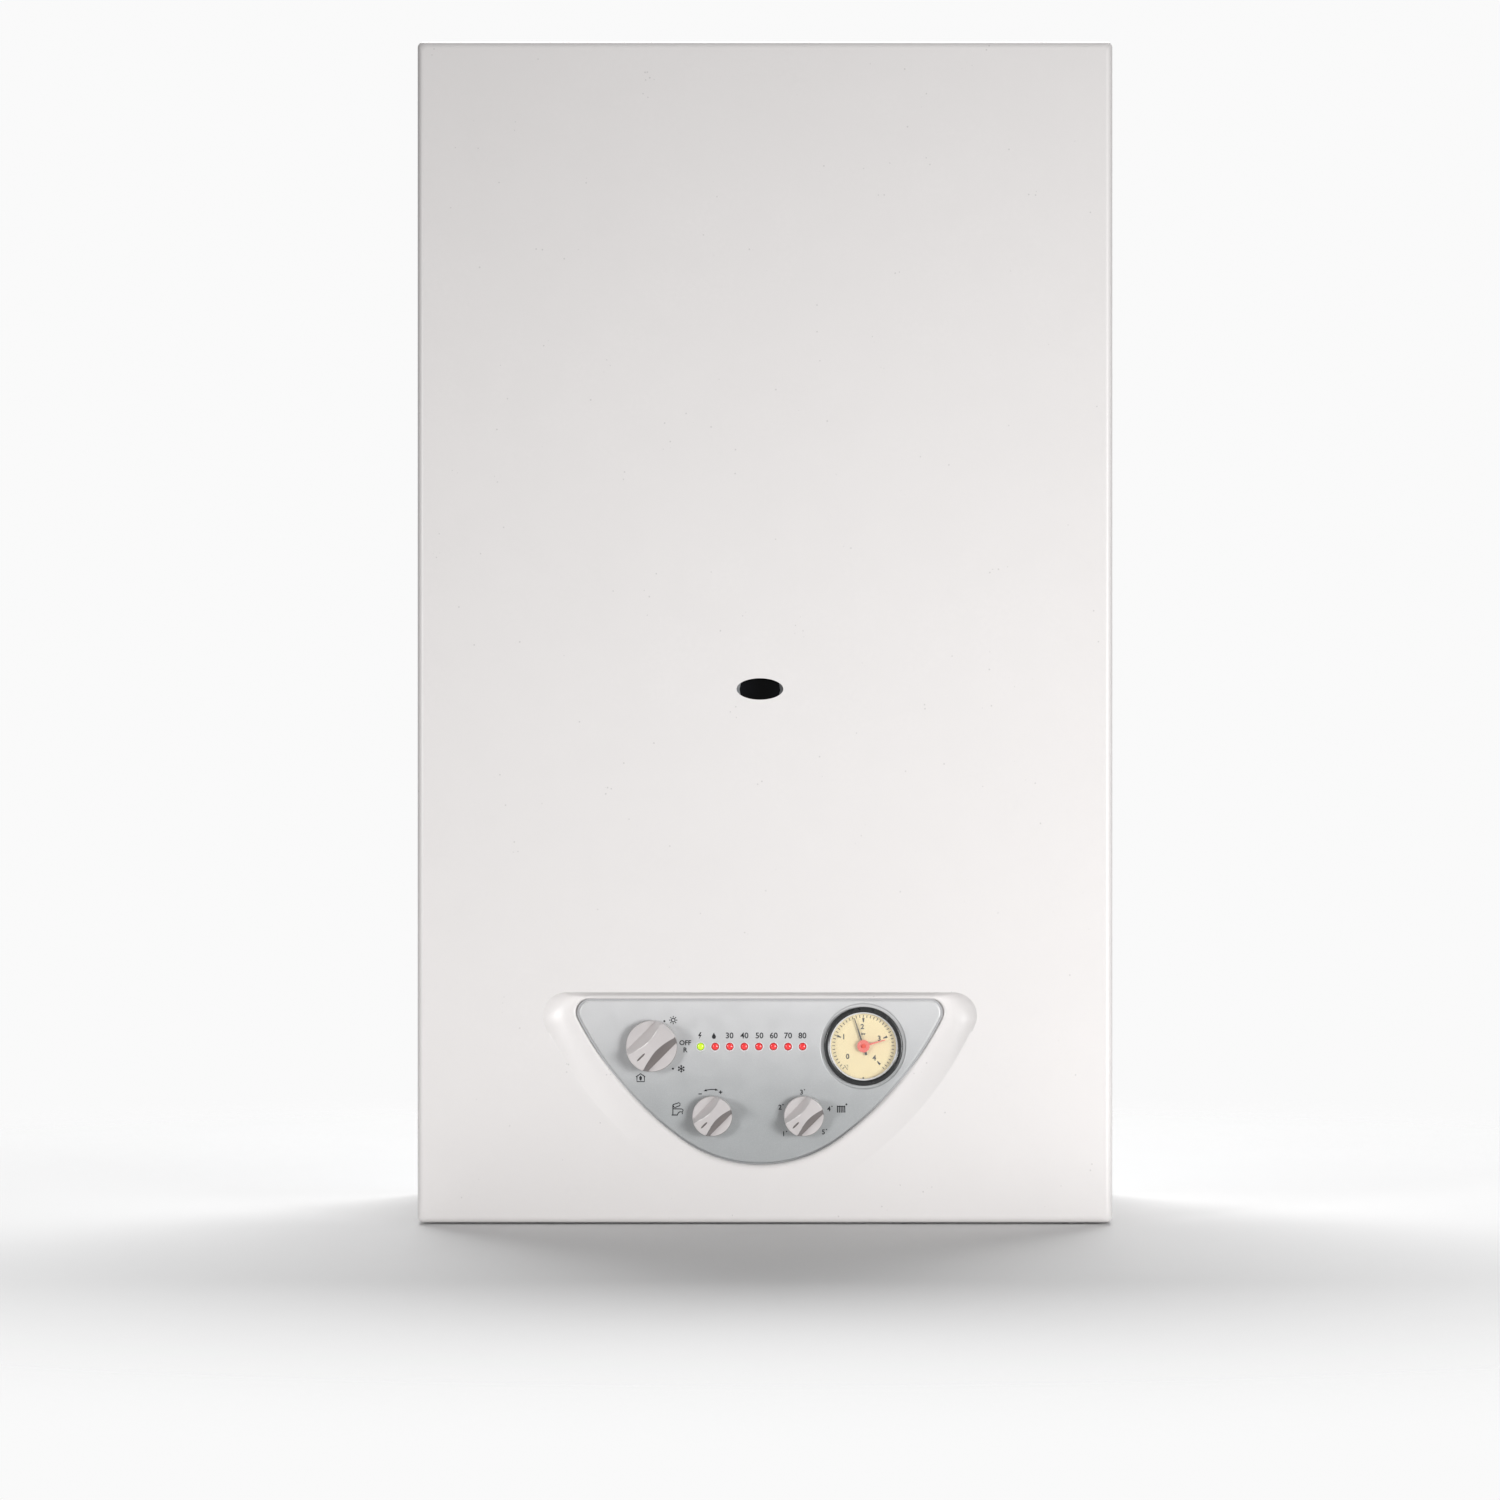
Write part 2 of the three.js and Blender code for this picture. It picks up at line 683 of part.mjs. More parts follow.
function fascia() {
  const outer = halfMoon(0, 0, fasciaCorner).map(([x, z]) => [x, controlFront, z]);
  const rounding = [0, 1, 2].map((k) => {
    const angle = (k / 2) * 90 * turn;
    const shrink = fasciaEdge * (1 - Math.cos(angle));
    const y = fasciaY + fasciaEdge * (1 - Math.sin(angle));
    return halfMoon(-shrink, -shrink, fasciaCorner - shrink).map(([x, z]) => [x, y, z]);
  });
  const body = loft([outer, ...rounding]);
  const inside = halfMoon(-fasciaWall, -fasciaWall, fasciaCorner - fasciaWall);
  const hollow = slab(inside, [fasciaY + fasciaPlate, controlFront + 1]);
  const through = piercing(fasciaY, fasciaPlate);
  const spindleHoles = knobPlaces().map(([x, z]) => rod('y', spindleRadius + 1, through, [x, 0, z]));
  const lampHoles = lampPlaces().map((x) => rod('y', lampRadius + 0.35, through, [x, 0, lampZ], 8));
  const at = [frontOffset + gaugeX, 0, gaugeZ];
  const gaugeHole = rod('y', gaugeCase() + seat, through, at, 20);
  const gaugeSeat = revolve('y', [
    [0, fasciaY - 1], [bezelRadius + 2.8, fasciaY - 1],
    [bezelRadius + 1.6, gaugeSeatY()], [0, gaugeSeatY()],
  ], at, 20);
  return cut(body, hollow, ...spindleHoles, ...lampHoles, gaugeHole, gaugeSeat);
}

function knobPlaces() {
  return [[selectorX, selectorZ], [hotWaterX, smallKnobZ], [heatingX, smallKnobZ]]
    .map(([x, z]) => [frontOffset + x, z]);
}

function lampPlaces() {
  return Array.from({ length: lampCount }, (_, i) => frontOffset + lampX + i * lampPitch);
}

const gaugeCase = () => faceRadius + 1.9; // outer radius of the gauge's case
const gaugeSeatY = () => fasciaY + 0.8; // floor of the recess under the bezel

// A round knob with a scoop cut out of it above and below a waisted bar, which lies along X here.
// Its back is at y = 0, its front at y = -knobTall, and the bar falls toward the pointer at -X.
function knob(radius) {
  const edge = 0.9;
  const body = revolve('y', [
    [0, 0], [radius, 0], [radius, edge - knobTall], [radius - edge, -knobTall], [0, -knobTall],
  ], [0, 0, 0], 20);
  const low = -knobTall * knobStep;
  const beyond = radius + 1;
  const scoops = [-1, 1].map((side) => loft([-beyond, -radius / 2, 0, radius / 2, beyond].map((x) => {
    const crest = radius * knobWaist + (knobEnd - knobWaist) * x * x / radius;
    const section = [
      [crest, -beyond - knobTall], [crest, -knobTall], [radius * knobFoot, low], [beyond, low],
      [beyond, -beyond - knobTall],
    ];
    return section.map(([z, y]) => [x, y, side * z]);
  })));
  const fall = loft([-beyond, beyond].map((z) => [
    [-beyond, knobFall - knobTall, z], [0, -knobTall, z], [-beyond, -knobTall - 1, z],
  ]));
  const pointer = interval(-radius * pointerReach, -radius * pointerStart);
  const half = pointerWidth / 2;
  const groove = box(pointer, [-knobTall - 1, pointerFloor - knobTall], [-half, half]);
  const bore = rod('y', spindleRadius + spin, [-spindleDepth(), 1]);
  return cut(body, ...scoops, fall, groove, bore);
}

const spindleDepth = () => knobTall * 0.7; // how deep the spindle sits in the knob

// It lies about its own knob's place, and turns in its switch on the board.
function spindle() {
  return rod('y', spindleRadius, [-spindleDepth() + seat, spindleBack - fasciaY + knobStandoff]);
}

// The control box's outline, shrunk all round.
function controlOutline(shrink, corner) {
  const half = controlHalf - shrink;
  return roundedRect(
    [frontOffset - half, frontOffset + half], [controlBottom + shrink, controlTop - shrink], corner,
  );
}

function controlBoxSolid() {
  const body = slab(controlOutline(0, 8), [controlFront, controlBack]);
  const hollow = slab(
    controlOutline(controlWall, 6), [controlFront + controlWall, controlBack - controlWall],
  );
  const margin = fasciaWall + 1;
  const opening = slab(
    halfMoon(-margin, -margin, fasciaCorner - margin), [controlFront - 1, controlFront + controlWall + 1],
  );
  const pins = [-1, 1].map((side) => rod('x', controlPin, interval(
    frontOffset + side * (controlHalf - 1), frontOffset + side * (controlHalf + 5),
  ), [0, pinY, pinZ]));
  const pillarYs = [boardY + boardSheet + seat, controlBack - 1];
  const pillars = boardCorners().map(([x, z]) => rod('y', 4, pillarYs, [x, 0, z], 6));
  return join(cut(body, hollow, opening), ...pins, ...pillars);
}

function boardCorners() {
  const half = boardHalf - 8;
  return [[-half, boardBottom + 10], [half, boardTop - 10]].map(([x, z]) => [frontOffset + x, z]);
}

// Board with its transformer, relays, plugs and the three switches behind the knobs.
function controlBoard() {
  const block = ([x0, x1], proud, zs) => box(
    [frontOffset + x0, frontOffset + x1], [boardY + boardSheet / 2, boardY + proud], zs,
  );
  const board = block([-boardHalf, boardHalf], boardSheet, [boardBottom, boardTop]);
  const transformer = block([boardHalf - 61, boardHalf - 21], 26, [boardBottom + 8, boardBottom + 42]);
  const relays = [36, 60, 84].map((x) => block(
    [x - boardHalf, x + 19 - boardHalf], 17, [boardBottom + 8, boardBottom + 23],
  ));
  const plugs = [26, 71, 116].map((x) => block(
    [x - boardHalf, x + 24 - boardHalf], 11, [boardTop - 14, boardTop - 4],
  ));
  const switches = knobPlaces().map(([x, z]) => {
    const body = box([x - 9, x + 9], [boardY - 9, boardY + boardSheet / 2], [z - 9, z + 9]);
    const bush = rod('y', 5, [boardY - 16, boardY - 8], [x, 0, z]);
    const bore = rod('y', spindleRadius + spin, [boardY - 20, spindleBack + seat], [x, 0, z]);
    return cut(join(body, bush), bore);
  });
  return join(board, transformer, ...relays, ...plugs, ...switches);
}

function indicatorLights() {
  const first = frontOffset + lampX;
  const last = first + (lampCount - 1) * lampPitch;
  const barFront = fasciaY + fasciaPlate + 1.5;
  const bar = box([first - 5, last + 5], [barFront, barFront + 4], [lampZ - 4, lampZ + 4]);
  const legs = [first - 2, last + 2].map((x) => rod(
    'y', 1.8, [barFront + 3, boardY - seat], [x, 0, lampZ], 6,
  ));
  const lamps = lampPlaces().map((x) => revolve('y', [
    [0, fasciaY - lampProud], [lampRadius, fasciaY - lampProud * 0.3],
    [lampRadius, barFront + 1], [0, barFront + 1],
  ], [x, 0, lampZ], 8));
  return join(bar, ...legs, ...lamps);
}

// Pieces of the gauge are made about its own centre, with y = 0 on the fascia's face.
function gaugeCaseSolid() {
  const outer = gaugeCase();
  const bore = outer - 0.9;
  const front = -bezelProud;
  return revolve('y', [
    [faceRadius, front + 0.4], [bezelRadius - 1, front], [bezelRadius, front + 0.9], [bezelRadius, 0.8],
    [outer, 0.8], [outer, gaugeDepth], [1.3, gaugeDepth], [bore - 2, gaugeDepth - 1.2],
    [bore - 2, 4.4], [bore, 4.4], [bore, front + 1.3], [faceRadius, front + 1.3], [faceRadius, front + 0.4],
  ], [0, 0, 0], 20);
}

function gaugeDial() {
  const plate = rod('y', gaugeCase() - 0.9 - seat, [3.5, 4.4 - seat], [0, 0, 0], 20);
  return cut(plate, rod('y', 1.6, [3, 5], [0, 0, 0], 10));
}

function gaugeLens() {
  const front = -bezelProud + 1.3 + seat;
  const plate = rod('y', gaugeCase() - 0.9 - seat, [front, front + 1], [0, 0, 0], 20);
  return cut(plate, rod('y', 1.5, [front - 1, front + 2], [0, 0, 0], 10));
}

// A flat hand that points along +Z, with a round hub and a tail.
function hand(length, tail, width, hub, [front, back]) {
  const tip = width * 0.3;
  const blade = slab([[-width, -tail], [width, -tail], [tip, length], [-tip, length]], [front, back]);
  return join(blade, rod('y', hub, [front, back], [0, 0, 0], 14));
}

function gaugeNeedle() {
  const pointer = hand(needleLength, 6, 0.75, 2.2, [1.6, 2.3]);
  return join(pointer, rod('y', 0.9, [2, gaugeDepth - seat], [0, 0, 0], 8));
}

function gaugeMarker() {
  const pointer = hand(markerLength, 3, 0.8, 4, [0.4, 1.2]);
  return join(pointer, rod('y', 1.05, [-bezelProud + 1.3 + seat, 0.8], [0, 0, 0], 8));
}

// ---------------------------------------------------------------- sealed chamber

function chamberBox() {
  const front = -chamberFront;
  const outer = box([-chamberHalf, chamberHalf], [front, chamberBack], [chamberBottom, chamberTop]);
  const inner = box(
    [-chamberHalf + chamberSheet, chamberHalf - chamberSheet], [front - 1, chamberBack - chamberSheet],
    [chamberBottom + chamberSheet, chamberTop - chamberSheet],
  );
  const rim = box(
    [-chamberHalf - chamberFlange, chamberHalf + chamberFlange], [front, front + chamberSheet],
    [chamberBottom - chamberFlange, chamberTop + chamberFlange],
  );
  const foot = piercing(chamberBottom);
  const pipeHoles = [-2, 2].map((step) => rod(
    'z', riserRadius + 2 * seat, foot, [step * pipePitch, heartY, 0], 12,
  ));
  const gasHole = rod('z', gasRadius + 2 * seat, foot, [0, manifoldY, 0], 12);
  const flueHole = rod('z', airRadius - collarWall, piercing(chamberTop), [0, flueY, 0], 28);
  return cut(join(outer, rim), inner, ...pipeHoles, gasHole, flueHole);
}

const manifoldY = -chamberFront + 11;

function lidOutline(shrink) {
  const half = chamberHalf + chamberFlange - shrink;
  return roundedRect(
    [-half, half], [chamberBottom - chamberFlange + shrink, chamberTop + chamberFlange - shrink], 4, 1,
  );
}

function chamberGasket() {
  const back = -chamberFront;
  return cut(
    slab(lidOutline(0), [back - gasketThick, back]),
    slab(lidOutline(chamberFlange), [back - gasketThick - 1, back + 1]),
  );
}

const lidBack = -chamberFront - gasketThick;
const windowRadius = 13;
const windowFront = lidBack - lidSwell;
const windowBack = windowFront + lidSheet + 1.6;

// The raised middle of the lid, between a distance at its foot and one at its face.
function lidForm(shrink, foot, face) {
  return loft([[24, foot], [30, face]].map(([step, y]) => (
    lidOutline(step + shrink).map(([x, z]) => [x, lidBack + y, z])
  )));
}

// Lid with a raised middle and a round window seat welded behind it.
function chamberLid() {
  const sheet = slab(lidOutline(0), [lidBack - lidSheet, lidBack]);
  const raised = lidForm(0, 0, -lidSwell);
  const hollow = lidForm(lidSheet, 0.01, lidSheet - lidSwell);
  const at = [frontOffset, 0, sightHeight];
  const window = rod('y', windowRadius, piercing(windowFront, lidSwell), at, 16);
  const seatRing = tube('y', windowRadius, windowRadius + 4, [windowFront, windowBack], at, 16);
  return join(cut(join(sheet, raised), hollow, window), seatRing);
}

function sightGlass() {
  const front = windowBack + seat;
  return rod('y', windowRadius + 3, [front, front + 3], [frontOffset, 0, sightHeight], 16);
}

function columnBox(shrink, zs) {
  return box(
    [-heartHalf + shrink, heartHalf - shrink],
    [heartY - heartDepth / 2 + shrink, heartY + heartDepth / 2 - shrink], zs,
  );
}

const flameWindow = () => slab(sightOval(), [heartY - heartDepth, heartY]);

function combustionChamber() {
  const zs = [combustionBottom, combustionTop];
  const inside = columnBox(chamberSheet, [zs[0] - 1, zs[1] + 1]);
  const ys = [heartY + heartDepth / 2 - 1, chamberBack - chamberSheet - seat];
  const brackets = [-70, 70].map((x) => box(
    [x - 8, x + 8], ys, [combustionTop - 40, combustionTop - 37],
  ));
  const shell = cut(columnBox(0, zs), inside, flameWindow(), ...electrodeHoles());
  return join(shell, ...brackets);
}

function combustionLining() {
  const zs = [combustionBottom, combustionTop];
  const skin = chamberSheet + seat;
  const inside = columnBox(skin + lining, [zs[0] - 1, zs[1] + 1]);
  return cut(columnBox(skin, zs), inside, flameWindow(), ...electrodeHoles());
}

function electrodeHoles() {
  const front = heartY - heartDepth / 2;
  return [-electrodeX, electrodeX].map((x) => rod(
    'y', electrodeRadius + 2 * spin, [front - 5, front + 2 * lining], [x, 0, electrodeZ], 8,
  ));
}

function bladeXs() {
  const pitch = (2 * (heartHalf - 12)) / (bladeCount - 1);
  return Array.from({ length: bladeCount }, (_, i) => -heartHalf + 12 + i * pitch);
}

function burner() {
  const foot = burnerTop - bladeTall - burnerTray;
  const tray = columnBox(2, [foot, foot + burnerTray]);
  const front = heartY - heartDepth / 2 + 2;
  const back = heartY + heartDepth / 2 - 2;
  const blades = bladeXs().map((x) => loft([0, 0.55, 1].map((t) => {
    const half = (bladeWidth / 2) * (t === 0.55 ? 0.55 : 1);
    const z = foot + burnerTray - 1 + (bladeTall + 1) * t;
    return [[x - half, front, z], [x + half, front, z], [x + half, back, z], [x - half, back, z]];
  })));
  const cheekZs = [foot, combustionBottom - seat];
  const cheeks = [-1, 1].map((side) => box(
    interval(side * heartHalf, side * (heartHalf - 2.5)), [front, back], cheekZs,
  ));
  return join(tray, ...blades, ...cheeks);
}

function gasManifold() {
  const z = burnerTop - bladeTall - burnerTray + 9;
  const trayFront = heartY - heartDepth / 2 + 2;
  const bar = box([-heartHalf + 6, heartHalf - 6], [manifoldY - 6, manifoldY + 6], [z - 6, z + 6]);
  const jets = bladeXs().map((x) => rod('y', 2.5, [manifoldY + 5, trayFront - seat], [x, 0, z], 6));
  return join(bar, ...jets);
}

// A ceramic body through the combustion chamber's front with a wire that reaches over the blades.
function electrode(lean) {
  const front = heartY - heartDepth / 2;
  const ceramic = rod('y', electrodeRadius, [front - 8, front + 16], [0, 0, electrodeZ], 8);
  const collar = rod('y', electrodeRadius + 2, [front - 4, front - seat], [0, 0, electrodeZ], 8);
  const wire = pipe([
    [0, front + 15, electrodeZ], [0, front + 27, electrodeZ], [lean, front + 37, electrodeZ - 7],
  ], 1.1, 4, 6);
  return join(ceramic, collar, wire);
}

function heatExchanger() {
  const zs = [exchangerBottom, exchangerTop];
  const pitch = (2 * heartHalf - 26) / (finCount - 1);
  const front = heartY - heartDepth / 2;
  const back = heartY + heartDepth / 2;
  const fins = Array.from({ length: finCount }, (_, i) => {
    const x = -heartHalf + 13 + i * pitch;
    return box([x - finThick / 2, x + finThick / 2], [front + 1, back - 1], [zs[0] + 3, zs[1] - 3]);
  });
  const casing = cut(columnBox(0, zs), columnBox(chamberSheet, [zs[0] - 1, zs[1] + 1]));
  const midZ = (zs[0] + zs[1]) / 2;
  const tubes = [-30, 0, 30].map((y) => {
    const reach = y === 0 ? heartHalf + 10 : heartHalf - 0.5;
    return rod('x', waterTube, [-reach, reach], [0, heartY + y, midZ], 6);
  });
  return join(casing, ...fins, ...tubes);
}

// It tapers from the heat exchanger to an upright duct behind the fan.
function flueHood() {
  const front = heartY - heartDepth / 2;
  const back = heartY + heartDepth / 2;
  const ring = (x0, x1, y0, z) => [[x0, y0, z], [x1, y0, z], [x1, back, z], [x0, back, z]];
  const half = scrollStart + 3;
  const form = (shrink, zs) => loft([
    ring(-heartHalf, heartHalf, front, zs[0]),
    ring(fanX - half, fanX + half, fanBack + seat, zs[1]),
    ring(fanX - half, fanX + half, fanBack + seat, zs[2]),
  ].map((points) => points.map(([x, y, z], k) => [
    x + (k === 0 || k === 3 ? shrink : -shrink), y + (k < 2 ? shrink : -shrink), z,
  ])));
  const top = fanZ + scrollStart + 1;
  const outer = form(0, [exchangerTop + seat, throatZ, top]);
  const inner = form(chamberSheet, [exchangerTop + seat - 0.5, throatZ - 1, top - chamberSheet]);
  const eye = rod('y', fanEye + 2, piercing(fanBack, chamberSheet), [fanX, 0, fanZ], 20);
  return cut(outer, inner, eye);
}

// Spiral casing: it winds anticlockwise from the tongue and leaves straight up.
function scrollOutline(shrink) {
  const steps = 16;
  const tongue = 60;
  const spiral = Array.from({ length: steps + 1 }, (_, i) => {
    const angle = tongue + ((fullTurn - tongue) * i) / steps;
    const radius = scrollStart + ((scrollEnd - scrollStart) * i) / steps - shrink;
    return [fanX + radius * Math.cos(angle * turn), fanZ + radius * Math.sin(angle * turn)];
  });
  const outletTopZ = chamberTop - 12 + (shrink > 0 ? 5 : 0);
  const left = fanX + scrollStart * Math.cos(tongue * turn) + shrink;
  const right = fanX + scrollEnd - shrink;
  return [...spiral, [right, outletTopZ], [left, outletTopZ]];
}

function fanHousing() {
  const outer = slab(scrollOutline(0), [fanFront, fanBack]);
  const inner = slab(scrollOutline(fanWall), [fanFront + fanWall, fanBack - fanWall]);
  const eye = rod('y', fanEye, piercing(fanBack), [fanX, 0, fanZ], 20);
  const shaftHole = rod('y', 2 * shaftRadius, piercing(fanFront), [fanX, 0, fanZ]);
  return cut(outer, inner, eye, shaftHole);
}

// A back disc, a ring at the eye and curved blades between them, on the motor's shaft.
function fanImpeller() {
  const front = fanFront + fanWall + 3.5;
  const back = fanBack - fanWall - 3.5;
  const disc = rod('y', impellerRadius, [front, front + 1.5], [0, 0, 0], 18);
  const ring = tube('y', impellerRadius - 4, impellerRadius, [back - 1.5, back], [0, 0, 0], 18);
  const hub = rod('y', 8, [front, front + 12]);
  const shaft = rod('y', shaftRadius, [fanFront - 18, front + 1]);
  const inner = impellerRadius - bladeReach;
  const radii = [inner, inner + bladeReach / 2, impellerRadius - 0.4];
  const blades = Array.from({ length: impellerBlades }, (_, i) => vane(
    i * (fullTurn / impellerBlades), radii, [0, 4, 16], 4, [front + 1, back - 0.5],
  ));
  return join(disc, hub, shaft, ring, ...blades);
}

// A curved vane through the given radii, each turned on by its own angle, and spread degrees thick.
function vane(base, radii, angles, spread, depth) {
  const side = (extra) => radii.map((radius, k) => {
    const angle = (base + angles[k] + extra) * turn;
    return [radius * Math.cos(angle), radius * Math.sin(angle)];
  });
  return slab([...side(0), ...side(spread).reverse()], depth);
}

function fanMotor() {
  const back = fanFront - seat;
  const can = rod('y', motorRadius, [back - 26, back - 4], [0, 0, 0], 20);
  const [wide, tall] = [motorRadius + 6, motorRadius - 2];
  const plate = box([-wide, wide], [back - 5, back], [-tall, tall]);
  const cap = rod('y', 9, [back - 32, back - 25]);
  const bore = rod('y', shaftRadius + spin, [back - 20, back + 1]);
  return cut(join(can, plate, cap), bore);
}

function flueCollar() {
  const top = caseHeight + collarProud;
  const airTube = revolve('z', [
    [airRadius - collarWall, chamberTop], [airRadius + 9, chamberTop], [airRadius + 9, chamberTop + 1.5],
    [airRadius, chamberTop + 1.5], [airRadius, top], [airRadius - 3, top], [airRadius - 3, top - 2],
    [airRadius - collarWall, top - 3], [airRadius - collarWall, chamberTop],
  ], [0, 0, 0], 24);
  const flue = tube('z', flueRadius - collarWall, flueRadius, [chamberTop - 20, top - 2], [0, 0, 0], 18);
  const webs = Array.from({ length: collarWebs }, (_, i) => {
    const angle = (fullTurn / 4 + (i * fullTurn) / collarWebs) * turn;
    const [c, s] = [Math.cos(angle), Math.sin(angle)];
    const [from, to] = [flueRadius - 1, airRadius - 1];
    const corners = [[from, -1], [to, -1], [to, 1], [from, 1]];
    return loft([chamberTop + 1.5, chamberTop + 7].map(
      (z) => corners.map(([u, w]) => [u * c - w * s, u * s + w * c, z]),
    ));
  });
  return join(airTube, flue, ...webs);
}

function airPressureSwitch() {
  const back = chamberBack - chamberSheet - seat;
  const body = revolve('y', [
    [0, back], [18, back], [18, back - 6], [30, back - 8], [31, back - 12],
    [30, back - 16], [20, back - 19], [20, back - 28], [0, back - 28],
  ]);
  const nipples = [-1, 1].map((side) => rod('z', 3, [-40, -26], [side * 8, back - 12, 0], 8));
  return join(body, ...nipples);
}

// Half of the vessel's section, from the middle of its face to its seam, shrunk by a wall.
function vesselSide(sign, shrink) {
  const half = vesselThick / 2 - shrink;
  const round = vesselRound - shrink;
  return [0, 1, 2].map((k) => {
    const angle = (k / 2) * 90 * turn;
    const reach = vesselRadius - shrink - round;
    return [reach + round * Math.sin(angle), sign * (half - round + round * Math.cos(angle))];
  });
}

// A hollow drum of two pressed halves, open through the port at its foot.
function expansionVessel() {
  const half = vesselThick / 2;
  const bossEnd = vesselFromWall - frameSheet - seat;
  const boss = [[0, bossEnd], [14, bossEnd], [14, half]];
  const rim = vesselRadius + vesselSeam;
  const outside = [
    ...boss, ...vesselSide(1, 0), [rim, 3], [rim, -3], ...vesselSide(-1, 0).reverse(), [0, -half],
  ];
  const inside = [
    [0, half - vesselWall], ...vesselSide(1, vesselWall),
    ...vesselSide(-1, vesselWall).reverse(), [0, vesselWall - half],
  ];
  const at = [vesselPortX, 0, 0];
  const port = rod('z', 8, [-vesselRadius - 8, -vesselRadius + 14], at);
  const bore = rod('z', 4.5, [-vesselRadius - 9, -vesselRadius + 16], at);
  const sides = 16;
  const drum = join(revolve('y', outside, [0, 0, 0], sides), port);
  return cut(drum, revolve('y', inside, [0, 0, 0], sides), bore);
}

// ---------------------------------------------------------------- water and gas

// Threaded tail with its nut, hollow at the end where the installer's pipe joins it.
function pipeTail(thread, bore, top) {
  const nut = rod('z', thread + 4, [tailTop - tailNutHeight, tailTop], [0, 0, 0], 6);
  const stem = rod('z', thread, [tailEndHeight, tailTop - 1], [0, 0, 0], 14);
  const hollow = rod('z', bore, [tailEndHeight - 1, tailTop - tailNutHeight]);
  const neck = top > tailTop ? [rod('z', riserRadius, [tailTop - 1, top])] : [];
  return cut(join(nut, stem, ...neck), hollow);
}

function portBoss(x, z) {
  return box([x - 12, x + 12], [pipeY - 12, pipeY + 10], [z - 11, z + 11]);
}

// Left casting: diverter chamber on the heating flow, and the hot water outlet beside it.
function diverterBody() {
  const [x0, x1] = [-2 * pipePitch, -pipePitch];
  const main = rod('z', 16, [castingHeight, diverterTop], [x0, pipeY, 0], 12);
  const collar = rod('z', 19, [diverterZ - 11, diverterZ + 11], [x0, pipeY, 0], 12);
  const outlet = rod('z', 13, [castingHeight, plateZ - portRise - 9], [x1, pipeY, 0]);
  const upperArm = rod('x', 9, [x0, -portX], [0, pipeY, plateZ + portRise]);
  const tie = box([x0, x1], [pipeY - 4, pipeY + 4], [castingHeight + 8, castingHeight + 22]);
  const neck = rod('y', 12, [pipeY - 22, pipeY], [x0, 0, diverterZ]);
  const bore = rod('y', 4 + spin, [pipeY - 30, pipeY + 4], [x0, 0, diverterZ]);
  const bosses = [portBoss(-portX, plateZ + portRise), portBoss(-portX, plateZ - portRise)];
  return cut(join(main, collar, outlet, upperArm, tie, neck, ...bosses), bore);
}

const diverterZ = castingHeight + 51;
const diverterTravel = 6;

// The spindle moves toward the wall by diverterTravel.
function diverterSpindle() {
  const front = pipeY - 22 - seat - 12;
  return rod('y', 4, [front, pipeY + 4 - diverterTravel - seat], [-2 * pipePitch, 0, diverterZ]);
}

function diverterMotor() {
  const x = -2 * pipePitch;
  const back = pipeY - 22 - seat;
  const outline = roundedRect([x - 24, x + 24], [diverterZ - 20, diverterZ + 24], 6);
  const housing = slab(outline, [back - 46, back]);
  const plug = box([x - 10, x + 10], [back - 52, back - 45], [diverterZ - 8, diverterZ + 6]);
  return cut(join(housing, plug), rod('y', 4 + spin, [back - 16, back + 1], [x, 0, diverterZ]));
}

const safetyZ = castingHeight + 20;
const tapSeat = castingHeight + 12; // where the filling tap's spindle ends

// Right casting: pump volute on the heating return, cold water inlet and filling link beside it.
function pumpBody() {
  const [x0, x1] = [pipePitch, 2 * pipePitch];
  const at = [x1, 0, pumpZ];
  const volute = rod('y', voluteRadius, [pipeY - 15, pipeY + 15], at, 18);
  const chamber = rod('y', voluteRadius - pumpWall, [pipeY - 16, pipeY + 9], at, 14);
  const inlet = rod('z', 15, [castingHeight, pumpZ - voluteRadius + 6], [x1, pipeY, 0], 10);
  const outlet = rod('z', 11, [pumpZ + voluteRadius - 6, outletTop], [x1, pipeY, 0]);
  const cold = rod('z', 13, [castingHeight, plateZ - portRise - 9], [x0, pipeY, 0]);
  const link = rod('x', 8, [x0, x1], [0, pipeY, castingHeight + 12]);
  const tapBoss = rod('z', 8, [castingHeight, castingHeight + 18], [fillingX, pipeY, 0]);
  const tapBore = rod('z', spindleRadius + spin, [castingHeight - 1, tapSeat], [fillingX, pipeY, 0]);
  const arm = rod('x', 9, [portX, x1 - voluteRadius + 4], [0, pipeY, plateZ + portRise]);
  const ventBoss = rod('z', 9, [pumpZ + 14, pumpZ + voluteRadius], [x1 + ventAside, pipeY, 0]);
  const safetyBoss = rod('y', 10, [pipeY - 18, pipeY], [x1, 0, safetyZ]);
  const hoseBoss = rod('z', 7, [plateZ + portRise, plateZ + portRise + 14], [portX, pipeY, 0]);
  const bosses = [portBoss(portX, plateZ + portRise), portBoss(portX, plateZ - portRise)];
  const mains = join(volute, inlet, outlet, cold, link, arm);
  return cut(join(mains, tapBoss, ventBoss, safetyBoss, hoseBoss, ...bosses), chamber, tapBore);
}

const pumpFront = pipeY - 15;

function pumpMotor() {
  const back = pumpFront - seat;
  const can = revolve('y', [
    [0, back], [voluteRadius - 2, back], [voluteRadius - 2, back - 6], [pumpRadius - 4, back - 8],
    [pumpRadius - 4, back - pumpLength + 6], [pumpRadius - 10, back - pumpLength], [0, back - pumpLength],
  ], [0, 0, 0], 18);
  const terminal = box([-22, 22], [back - pumpLength + 4, back - 14], [pumpRadius - 12, pumpRadius + 4]);
  const plug = rod('y', 8, [back - pumpLength - 3, back - pumpLength + 1]);
  return cut(join(can, terminal, plug), rod('y', 4 + spin, [back - 30, back + 1], [0, 0, 0], 12));
}

